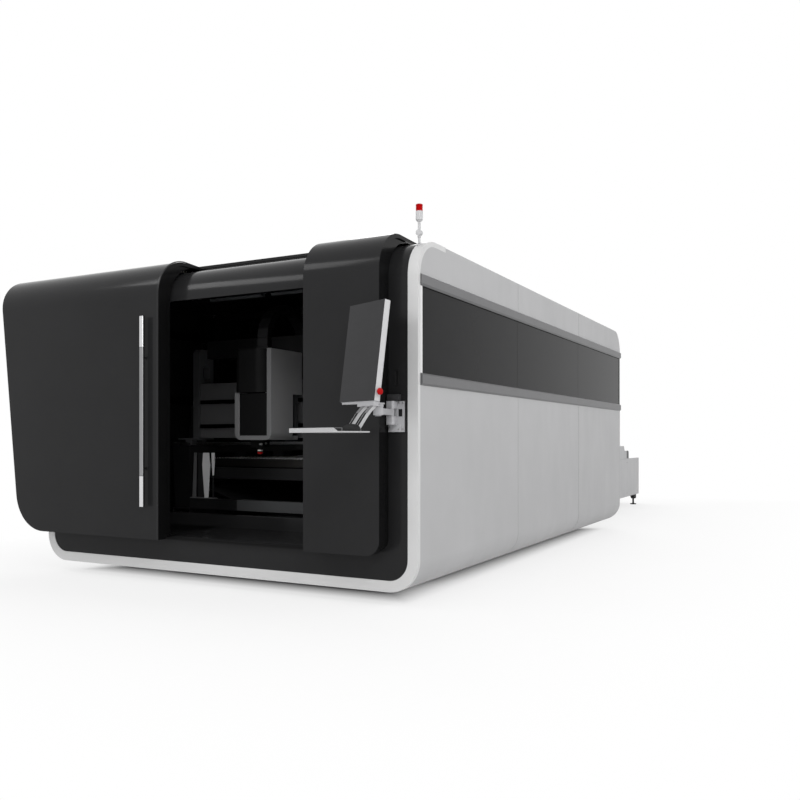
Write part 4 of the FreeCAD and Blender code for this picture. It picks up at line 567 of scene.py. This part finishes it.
def piece(name, shape, materials, body, bevel=0.0):
    mesh = bpy.data.meshes.new(name)
    mesh.from_pydata([v + at(0, 0, 0) for v in shape.verts], [], shape.faces)
    for material in materials:
        mesh.materials.append(MATERIALS[material])
    mesh.polygons.foreach_set("material_index", shape.kinds)
    work = bmesh.new()
    work.from_mesh(mesh)
    bmesh.ops.recalc_face_normals(work, faces=work.faces)
    work.to_mesh(mesh)
    work.free()
    obj = bpy.data.objects.new(name, mesh)
    bpy.context.collection.objects.link(obj)
    if bevel:
        ease(obj, bevel)
    smooth(obj)
    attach(obj, body)
    return obj


# --- door handle: a bar in three lengths on two posts --------------------------------------
HANDLE_X, HANDLE_FRONT, HANDLE_BACK = -0.4766, -0.202, -0.184
HANDLE_HALF, HANDLE_CORNER = 0.0204, 0.006
HANDLE_JOINTS = (0.593, 0.823, 1.780, 2.013)
HANDLE_COATS = (1, 0, 1)
HANDLE_POSTS = (0.879, 1.705)
HANDLE_POST = [(0.0075, 0), (0.0075, 0.029), (0.014, 0.031), (0.015, 0.034)]
# Each length narrows by the inset over the last bit of it, so its joints show as lines.
JOINT_INSET, JOINT_DEEP = 0.002, 0.0015


def handle_ring(z, grow):
    """The bar's round-cornered outline, grown or shrunk."""
    points = []
    for across, back, start in ((1, 1, 0), (-1, 1, 90), (-1, -1, 180), (1, -1, 270)):
        x = HANDLE_X + across * (HANDLE_HALF + grow - HANDLE_CORNER)
        face = HANDLE_BACK + grow if back > 0 else HANDLE_FRONT - grow
        y = face - back * HANDLE_CORNER
        for turn in (0, 30, 60, 90):
            a = math.radians(start + turn)
            points.append((x + HANDLE_CORNER * math.cos(a), y + HANDLE_CORNER * math.sin(a), z))
    return points


handle = Shape()
for low, high, coat in zip(HANDLE_JOINTS, HANDLE_JOINTS[1:], HANDLE_COATS):
    handle.loft([handle_ring(low, -JOINT_INSET), handle_ring(low + JOINT_DEEP, 0.0),
                 handle_ring(high - JOINT_DEEP, 0.0), handle_ring(high, -JOINT_INSET)], coat)
for z in HANDLE_POSTS:
    handle.turned(HANDLE_POST, (HANDLE_X, HANDLE_BACK, z), (0, 1, 0), kind=2)
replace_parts(piece("handle_bar", handle, ["handle", "polished", "black"], "door"),
            "door_handle")

# --- door: the rolled edge beside the doorway ----------------------------------------------
# The hood's side view, as (y, z): up the front, round to the roof, and back along the tail.
DOOR_FACE, DOOR_FOOT = -0.150, 0.352
HOOD_RADIUS, HOOD_Y, HOOD_Z = 0.285, 0.135, 2.180
HOOD_TOP, TAIL_END = 2.465, (0.378, 2.4493)
hood = [(DOOR_FACE, DOOR_FOOT), (DOOR_FACE, HOOD_Z)]
for degrees in range(5, 90, 5):
    a = math.radians(degrees)
    hood.append((HOOD_Y - HOOD_RADIUS * math.cos(a), HOOD_Z + HOOD_RADIUS * math.sin(a)))
hood += [(HOOD_Y, HOOD_TOP), TAIL_END]


def along_hood(x, out):
    """The hood's side view moved outward, at a place across the machine."""
    points = []
    for i, (y, z) in enumerate(hood):
        before, after = hood[max(i - 1, 0)], hood[min(i + 1, len(hood) - 1)]
        way = Vector((after[0] - before[0], after[1] - before[1])).normalized()
        points.append((x, y - way.y * out, z + way.x * out))
    return points


# The roll's section: (place across, distance out of the door's face) points.
ROLL = [(-0.3735, -0.001), (-0.3725, 0.0010), (-0.3690, 0.0014), (-0.3615, 0.0010),
        (-0.3585, 0.0002), (-0.3576, -0.0020), (-0.3576, -0.0060), (-0.3640, -0.0060)]
rolled = Shape()
rolled.loft(list(zip(*(along_hood(x, out) for x, out in ROLL))))
# The roll's coat carries a painted highlight.
piece("door_edge", rolled, ["edge"], "door")

# --- roof: the rail behind the hoods, with a groove along its face --------------------------
RAIL_ENDS, RAIL_FACE, RAIL_GROOVE, RAIL_BACK = (-1.620, 1.280), 0.3925, 0.3980, 0.4125
rail = Shape()
for face, low, high in ((RAIL_FACE, ROOF, 2.4560), (RAIL_GROOVE, 2.4555, 2.4620),
                        (RAIL_FACE, 2.4615, 2.4830)):
    rail.box(RAIL_ENDS, (face, RAIL_BACK), (low, high))
piece("roof_rail", rail, ["rail_black"], "machine", 0.0015)

# --- pallets: sawtoothed slats --------------------------------------------------------------
SLAT_HALF, SLAT_THICK, SLAT_COUNT, SLAT_TEETH, SLAT_DEEP = 0.982, 0.004, 37, 60, 0.014
TOOTH_TIP = (0.42, 0.58)
SLAT_FIRST, SLAT_LAST = 1.150, 4.950
SLAT_LEVELS, WAITING_LEVELS = (0.850, 0.930), (0.600, 0.680)


def slats(first, last, seat, top):
    """A row of slats. Each has two sides, and a side's points are those of its sawtooth line
    and then the same number on the seat below them."""
    shape = Shape()
    pitch = 2 * SLAT_HALF / SLAT_TEETH
    line = [(-SLAT_HALF, seat)]
    for tooth in range(SLAT_TEETH):
        left = -SLAT_HALF + tooth * pitch
        line += [(left, top - SLAT_DEEP), (left + pitch * TOOTH_TIP[0], top),
                 (left + pitch * TOOTH_TIP[1], top)]
    line += [(SLAT_HALF, top - SLAT_DEEP), (SLAT_HALF, seat)]
    count = len(line)
    for y in evenly(first, last, SLAT_COUNT):
        verts = []
        for side in (-SLAT_THICK / 2, SLAT_THICK / 2):
            verts += [(x, y + side, z) for x, z in line]
            verts += [(x, y + side, seat) for x, z in line]
        faces = []
        for i in range(count - 1):
            if line[i + 1][0] - line[i][0] > 1e-6:  # upright ends have nothing below them
                faces.append([i, i + 1, count + i + 1, count + i])
                faces.append([2 * count + i + 1, 2 * count + i,
                              3 * count + i, 3 * count + i + 1])
                faces.append([count + i, count + i + 1, 3 * count + i + 1, 3 * count + i])
            faces.append([i + 1, i, 2 * count + i, 2 * count + i + 1])
        shape.add(verts, faces)
    return shape


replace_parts(piece("slats", slats(SLAT_FIRST, SLAT_LAST, *SLAT_LEVELS),
                  ["slat"], "pallet"), "pallet_slats")
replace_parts(piece("waiting_slats", slats(SLAT_FIRST + PALLET_TRAVEL,
                                         SLAT_LAST + PALLET_TRAVEL, *WAITING_LEVELS),
                  ["slat"], "lift"), "lower_pallet_slats")

# --- guard stops at the pallet's front corners ----------------------------------------------
STOP_FRONT, STOP_BACK, STOP_TOP, SHELF_TOP = 0.970, 0.980, 0.975, 0.575
# Each stop's (level, outer, inner) places across, from the top down, and its coat.
# Coat 0 is the post paint; coats 1 and 2 carry painted shade.
STOPS = (
    ([(STOP_TOP, 1.0200, 0.9930), (0.819, 1.0270, 0.9953), (SHELF_TOP, 1.0395, 1.0000)], 1),
    ([(STOP_TOP, 0.9138, 0.8492), (0.867, 0.9243, 0.8377), (SHELF_TOP, 0.8988, 0.8573)], 0),
    ([(STOP_TOP, 0.8183, 0.7851), (0.893, 0.8148, 0.7851), (0.774, 0.8057, 0.7943)], 0),
    ([(0.774, 0.8057, 0.7943), (SHELF_TOP, 0.8057, 0.7943)], 2),
)
# The plate behind the stops and the shelf under them: x, y and z spans, and the coat.
STOP_PLATE = ((0.994, 0.930), (0.992, 1.006), (SHELF_TOP, 0.972), 2)
STOP_SHELF = ((1.0595, 0.790), (0.962, 1.018), (0.567, SHELF_TOP), 1)
stops = Shape()
for hand in (1, -1):
    for levels, coat in STOPS:
        stops.loft([[(hand * outer, STOP_FRONT, z), (hand * inner, STOP_FRONT, z),
                     (hand * inner, STOP_BACK, z), (hand * outer, STOP_BACK, z)]
                    for z, outer, inner in levels], coat)
    for across, y, z, coat in (STOP_PLATE, STOP_SHELF):
        stops.box(sorted(hand * x for x in across), y, z, coat)
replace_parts(piece("guard_stops", stops, ["post", "post_shade", "post_deep_shade"], "machine",
                  0.0015), "guard_posts")

# --- pallet wheels --------------------------------------------------------------------------
WHEEL_LEVEL = 0.770
AXLE = [(0.012, -1.003), (0.014, -1.001), (0.014, 1.001), (0.012, 1.003)]
WHEEL = [(0.022, 0.993), (0.024, 0.9945), (0.040, 0.9950), (0.048, 0.9935),
         (0.0498, 0.9955), (0.0498, 1.0175), (0.048, 1.0195), (0.041, 1.0195),
         (0.039, 1.0155), (0.026, 1.0155), (0.024, 1.0195), (0.010, 1.0200)]
for body, node, y in (("front_wheels", "front_wheel_set", 1.450),
                      ("rear_wheels", "rear_wheel_set", 4.650)):
    wheels = Shape()
    wheels.turned(AXLE, (0, y, WHEEL_LEVEL), (1, 0, 0))
    for side in (1, -1):
        wheels.turned(WHEEL, (0, y, WHEEL_LEVEL), (side, 0, 0), sides=48)
    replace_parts(piece(body, wheels, ["steel"], body), node)

# --- cutting head: nozzle and gas fitting ---------------------------------------------------
HEAD = (-0.139, 0.790, 0.0)
# The nozzle's turned parts from the top down, each with its coat.
TIP = (
    ([(0.025, 1.030), (0.026, 1.028), (0.026, 1.012), (0.0245, 1.0095), (0.0205, 1.0085)], 0),
    ([(0.0200, 1.0085), (0.0215, 1.0075), (0.0215, 0.9985), (0.0195, 0.9975)], 1),
    ([(0.0190, 0.9975), (0.0190, 0.9915), (0.0180, 0.9905)], 0),
    ([(0.0200, 0.9905), (0.0225, 0.9890), (0.0230, 0.9860), (0.0230, 0.9790),
      (0.0210, 0.9755), (0.0150, 0.9745)], 2),
    ([(0.0140, 0.9745), (0.0130, 0.9725), (0.0070, 0.9685), (0.0030, 0.9680)], 3),
)
tip = Shape()
for profile, coat in TIP:
    tip.turned(profile, HEAD, kind=coat)
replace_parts(piece("nozzle_stack", tip, ["black_matt", "ceramic", "red", "copper"], "head"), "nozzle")

# Two hose fittings, in front of the head's foot and at its right.
FRONT_FITTING = [(0.0095, 0), (0.0095, -0.006), (0.0065, -0.007), (0.0065, -0.016),
                 (0.0085, -0.017), (0.0085, -0.026), (0.006, -0.0275)]
SIDE_FITTING = [(0.0095, 0), (0.0095, 0.006), (0.0065, 0.007), (0.0065, 0.013),
                (0.005, 0.015)]
fitting = Shape()
fitting.turned(FRONT_FITTING, (-0.086, 0.740, 1.055), (0, 1, 0), sides=24)
fitting.turned(SIDE_FITTING, (-0.074, 0.775, 1.062), (1, 0, 0), sides=24)
piece("gas_fitting", fitting, ["bolt"], "head")

# --- signal tower lens: eight grooves under a cap -------------------------------------------
TOWER = (1.672, 0.120, 0.0)
LENS_OUT, LENS_IN = 0.0225, 0.0216
grooves = []
for z in evenly(2.592, 2.620, 8):
    grooves += [(LENS_OUT, z), (LENS_IN, z + 0.0010), (LENS_IN, z + 0.0022),
                (LENS_OUT, z + 0.0032)]
lens = Shape()
lens.turned([(0.0215, 2.588), (LENS_OUT, 2.589), *grooves, (LENS_OUT, 2.6245),
             (0.0215, 2.6250)], TOWER)
lens.turned([(0.0228, 2.6250), (0.0232, 2.6262), (0.0228, 2.6310), (0.0190, 2.6338),
             (0.0080, 2.6340)], TOWER, kind=1)
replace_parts(piece("signal_lens", lens, ["lens", "red"], "machine"),
            "tower_lamp")

# --- console --------------------------------------------------------------------------------
# Places on it are measured from the knuckle, x along the screen; TILTED leans with the screen.
KNUCKLE, CONSOLE_TURN, SCREEN_LEAN = (1.514, -0.4175, 1.326), -23.4, -7.6
CONSOLE = (Matrix.Translation(KNUCKLE)
           @ Matrix.Rotation(math.radians(CONSOLE_TURN), 4, "Z"))
TILTED = CONSOLE @ Matrix.Rotation(math.radians(SCREEN_LEAN), 4, "X")

BUTTON_PLACE = (0.178, 0.026, 0.057)
BUTTON = [(0.0078, -0.008), (0.0078, 0.011), (0.0175, 0.0112), (0.0202, 0.0130),
          (0.0210, 0.0155), (0.0206, 0.0185), (0.0186, 0.0215), (0.0140, 0.0234),
          (0.0060, 0.0240)]
button = Shape()
button.turned(BUTTON, BUTTON_PLACE, (1, 0, 0), sides=48)
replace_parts(piece("stop_button", button.moved(TILTED), ["red"], "button"),
            "emergency_button")

HOUSING_BACK = 0.052
VENT_FIRST, VENT_PITCH, VENT_HIGH, VENT_COUNT = 0.400, 0.018, 0.007, 9
VENT_X, VENT_Y = (-0.095, 0.095), (0.0518, 0.0528)
BACK_SCREW = [(0.005, 0), (0.005, 0.0015), (0.0035, 0.0022), (0.0012, 0.0022)]
vents = Shape()
for row in range(VENT_COUNT):
    z = VENT_FIRST + row * VENT_PITCH
    vents.box(VENT_X, VENT_Y, (z, z + VENT_HIGH))
for x in (-0.150, 0.150):
    for z in (0.030, 0.582):
        vents.turned(BACK_SCREW, (x, HOUSING_BACK, z), (0, 1, 0), sides=16)
piece("monitor_vents", vents.moved(TILTED), ["rubber"], "console")

# The tray's arms are bent channels, open in front below a cover, that end in a boot. Their
# curve's four control points are (y, z).
ARM_CURVE = ((0.022, -0.0345), (-0.022, -0.056), (-0.062, -0.122), (-0.100, -0.1705))
ARM_STEPS, ARM_COVERED, ARM_PLACES = 14, 6, (0.066, 0.150)
# Sections of the channel, its filler and its cover: (sideways, outward) points.
ARM_CHANNEL = [(-0.0150, 0.010), (-0.0150, -0.0100), (-0.0135, -0.0100),
               (-0.0135, 0.0065), (0.0130, 0.0065), (0.0130, -0.0110), (0.0150, -0.0110),
               (0.0150, 0.010)]
ARM_FILLER = [(-0.0134, -0.0085), (0.0129, -0.0085), (0.0129, 0.0064), (-0.0134, 0.0064)]
ARM_COVER = [(-0.0155, -0.0104), (-0.0120, -0.0130), (0.0120, -0.0130),
             (0.0155, -0.0104), (0.0155, -0.0085), (-0.0155, -0.0085)]


def arm_spine():
    """Places down an arm, in the plane across the console."""
    points = []
    for i in range(ARM_STEPS + 1):
        t = i / ARM_STEPS
        weights = ((1 - t) ** 3, 3 * (1 - t) ** 2 * t, 3 * (1 - t) * t ** 2, t ** 3)
        points.append(Vector([sum(w * place[axis] for w, place in zip(weights, ARM_CURVE))
                              for axis in (0, 1)]))
    return points


def swept(section, middle, first, last):
    """Rings of an arm's section along its spine."""
    rings = []
    for i in range(first, last):
        way = (spine[min(i + 1, ARM_STEPS)] - spine[max(i - 1, 0)]).normalized()
        rings.append([(middle + u, spine[i].x - way.y * out, spine[i].y + way.x * out)
                      for u, out in section])
    return rings


arms = Shape()
spine = arm_spine()
for middle in ARM_PLACES:
    arms.loft(swept(ARM_CHANNEL, middle, 0, ARM_STEPS + 1))
    arms.loft(swept(ARM_FILLER, middle, ARM_COVERED, ARM_STEPS + 1), kind=1)
    arms.loft(swept(ARM_COVER, middle, 0, ARM_COVERED + 1), kind=2)
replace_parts(piece("arm_channels", arms.moved(CONSOLE), ["tray", "rubber", "arm_cover"],
                  "console", 0.0006), "tray_arms")

# The boot is a squarish dome: (share of its size, height) rings.
BOOT = ((1.0, 0.0), (1.0, 0.010), (0.97, 0.019), (0.88, 0.029), (0.70, 0.037),
        (0.42, 0.042), (0.14, 0.0435))
BOOT_X, BOOT_Y, BOOT_Z, BOOT_WIDE, BOOT_DEEP = 0.108, -0.112, -0.1835, 0.072, 0.036


def squarish(value):
    """A sine or cosine pushed outward, toward a square."""
    return math.copysign(abs(value) ** 0.8, value)


boot = Shape()
boot.loft([[(BOOT_X + BOOT_WIDE * share * squarish(math.cos(a)),
             BOOT_Y + BOOT_DEEP * share * squarish(math.sin(a)), BOOT_Z + height)
            for a in around(48)] for share, height in BOOT])
piece("arm_boot", boot.moved(CONSOLE), ["rubber"], "console")

# The clip at the tray's end: two lips and a stem round a soft block.
CLIP_X, CLIP_FRONT, CLIP_BACK = (0.2290, 0.2310), -0.312, -0.262
clip = Shape()
clip.box(CLIP_X, (CLIP_FRONT, CLIP_BACK), (-0.185, -0.182))
clip.box(CLIP_X, (CLIP_FRONT, CLIP_BACK), (-0.167, -0.164))
clip.box(CLIP_X, (-0.266, CLIP_BACK), (-0.182, -0.167))
clip.box((0.2240, 0.2292), (CLIP_FRONT, -0.265), (-0.183, -0.166), kind=1)
piece("tray_clip", clip.moved(CONSOLE), ["arm_cover", "rubber"], "console")

SCREW_PLACES = ((1.590, -0.014, 1.160), (1.618, -0.014, 1.160), (1.618, -0.008, 1.330),
                (1.590, -0.008, 1.330))
SCREW = [(0.0055, 0), (0.0055, -0.004), (0.0045, -0.005), (0.0028, -0.005),
         (0.0028, -0.0025)]
screws = Shape()
for place in SCREW_PLACES:
    screws.turned(SCREW, place, (0, 1, 0), sides=20)
piece("bracket_screws", screws, ["bolt"], "machine")

# The grommet is a tall oval ring of (growth, y) steps round the cable's way in.
GROMMET_X, GROMMET_Z, GROMMET_RADIUS, GROMMET_STRAIGHT = 1.571, 1.495, 0.016, 0.036
rings = []
for grow, y in ((0.0, 0.0), (0.0, -0.003), (-0.002, -0.0045), (-0.005, -0.0030),
                (-0.006, -0.0005)):
    radius = GROMMET_RADIUS + grow
    rings.append([(GROMMET_X + radius * math.cos(a), y,
                   GROMMET_Z + math.copysign(GROMMET_STRAIGHT, math.sin(a))
                   + radius * math.sin(a)) for a in around(40)])
grommet = Shape()
grommet.loft(rings)
piece("cable_grommet", grommet, ["rubber"], "machine")

# --- straps behind the joints of the upper side panels --------------------------------------
PANEL_JOINTS = (1.8669, 3.7034)
STRAP_X, STRAP_THICK, STRAP_WIDE, STRAP_Z = 1.7202, 0.0024, 0.044, (2.170, 2.385)
straps = Shape()
for y in PANEL_JOINTS:
    for x in (-STRAP_X, STRAP_X):
        straps.box((x - STRAP_THICK / 2, x + STRAP_THICK / 2),
                   (y - STRAP_WIDE / 2, y + STRAP_WIDE / 2), STRAP_Z)
piece("joint_straps", straps, ["black_matt"], "machine")

# --- bolts that hold the panels -------------------------------------------------------------
DOME = [(0.0085, 0), (0.0085, 0.0010), (0.0072, 0.0034), (0.0042, 0.0048),
        (0.0024, 0.0048), (0.0024, 0.0030)]
STATION_SIDE = 1.100
ROOF_BOLTS = [(x, y, ROOF) for y in (0.455, 2.110, 2.160, 3.777, 3.827, 5.210)
              for x in evenly(-1.60, 1.60, 9)]
REAR_BOLTS = [(x, LENGTH, z) for z in (0.30, 1.115, 1.60, 2.08)
              for x in (-1.66, -1.40, -1.14, 1.14, 1.40, 1.66)]
STATION_BOLTS = [(STATION_SIDE, y, z) for z in (0.225, 0.720) for y in evenly(5.75, 9.50, 6)]
bolts = Shape()
for place in ROOF_BOLTS:
    bolts.turned(DOME, place, (0, 0, 1), sides=16)
for place in REAR_BOLTS:
    bolts.turned(DOME, place, (0, 1, 0), sides=16)
for x, y, z in STATION_BOLTS:
    for side in (1, -1):
        bolts.turned(DOME, (x * side, y, z), (side, 0, 0), sides=16)
piece("panel_bolts", bolts, ["bolt"], "machine")

# --- floor ----------------------------------------------------------------------------------
FLOOR_HALF = 60.0
# The floor is least white this far each way from the row's middle, and pure white FADE metres
# further out. Inside the cell's edges the white ends between the two depths of UNDER_CELL.
SHADED_X, SHADED_Y, LEAST_WHITE, FADE = 1.75, 5.0, 0.72, 2.2
UNDER_CELL = (-0.45, -0.15)


def beyond(n, value, middle, half):
    """How far a coordinate lies outside a span, below 0 inside it."""
    apart = n.math("ABSOLUTE", n.math("SUBTRACT", value, middle))
    return n.math("SUBTRACT", apart, half)


def floor_material():
    """A pale floor that keeps a faint shadow beside the machine and turns white away from it.
    Under the cell it stays an ordinary floor."""
    n = Surface("floor")
    blot = n.ranged(n.noise(0.6, detail=3.0), 0.0, 1.0)
    n.set(Base_Color=n.mixed(blot, colour(0.975, 0.975, 0.975), colour(0.985, 0.985, 0.985)),
          Roughness=0.6, Specular_IOR_Level=0.1)
    white = n.add("ShaderNodeEmission")
    white.inputs["Strength"].default_value = 1.0
    x, y, _ = n.split(n.place)
    from_machine = n.math("MAXIMUM", beyond(n, x, FRONT_X, SHADED_X),
                          beyond(n, y, 0.0, SHADED_Y))
    away = n.ranged(from_machine, LEAST_WHITE, 1.0, 0.0, FADE)
    from_cell = n.math("MAXIMUM", beyond(n, x, FRONT_X, HALF_WIDTH),
                       beyond(n, y, FRONT_Y + LENGTH / 2, LENGTH / 2))
    outside = n.ranged(from_cell, 0.0, 1.0, *UNDER_CELL)
    fac = n.math("MULTIPLY", n.math("MULTIPLY", away, outside), n.seen_directly())
    n.show(white, fac, "Material Output")
    return n.mat


mesh = bpy.data.meshes.new("floor")
mesh.from_pydata([(-FLOOR_HALF, -FLOOR_HALF, 0), (FLOOR_HALF, -FLOOR_HALF, 0),
                  (FLOOR_HALF, FLOOR_HALF, 0), (-FLOOR_HALF, FLOOR_HALF, 0)],
                 [], [(0, 1, 2, 3)])
mesh.materials.append(floor_material())
floor = bpy.data.objects.new("floor", mesh)
bpy.context.collection.objects.link(floor)

# --- light ----------------------------------------------------------------------------------
# The world lights the machine at half strength and shows itself in full white.
WHITE = (1, 1, 1, 1)
world = bpy.data.worlds.new("studio")
bpy.context.scene.world = world
sky = Nodes(world, "Background")
sky.set(Color=WHITE, Strength=0.50)
shown = sky.add("ShaderNodeBackground")
shown.inputs["Color"].default_value = WHITE
shown.inputs["Strength"].default_value = 1.0
sky.show(shown, sky.seen_directly(), "World Output")


def area(name, where, toward, size, power):
    data = bpy.data.lights.new(name, "AREA")
    data.shape = "RECTANGLE"
    data.size, data.size_y = size
    data.energy = power
    obj = bpy.data.objects.new(name, data)
    bpy.context.collection.objects.link(obj)
    obj.location = where
    obj.rotation_euler = (toward - where).to_track_quat("-Z", "Y").to_euler()


area("key", at(6.5, -6.0, 7.5), at(0.5, 1.0, 1.0), size=(6, 4), power=330)
area("fill", at(-0.5, -11.0, 3.5), at(0, 0, 1.2), size=(5, 4), power=260)
area("strip", at(-4.4, -4.5, 7.1), at(0.3, 0, 1.9), size=(4.0, 1.8), power=135)
area("side", at(10.0, 3.0, 5.0), at(1.7, 3.0, 1.2), size=(8, 4), power=240)
area("back", at(-3.0, 14.0, 7.0), at(0, 5.0, 1.0), size=(8, 5), power=400)

# --- camera ---------------------------------------------------------------------------------
cam = bpy.data.cameras.new("camera")
cam.sensor_width = 36.0
cam.lens = 36.99
cam.shift_y = 0.04865
cam.clip_end = 200
camera = bpy.data.objects.new("camera", cam)
bpy.context.collection.objects.link(camera)
camera.location = at(4.0816, -4.6914, 1.0982)
camera.rotation_euler = (math.pi / 2, 0, math.radians(27.946))
bpy.context.scene.camera = camera
bpy.context.scene.view_settings.view_transform = "Standard"
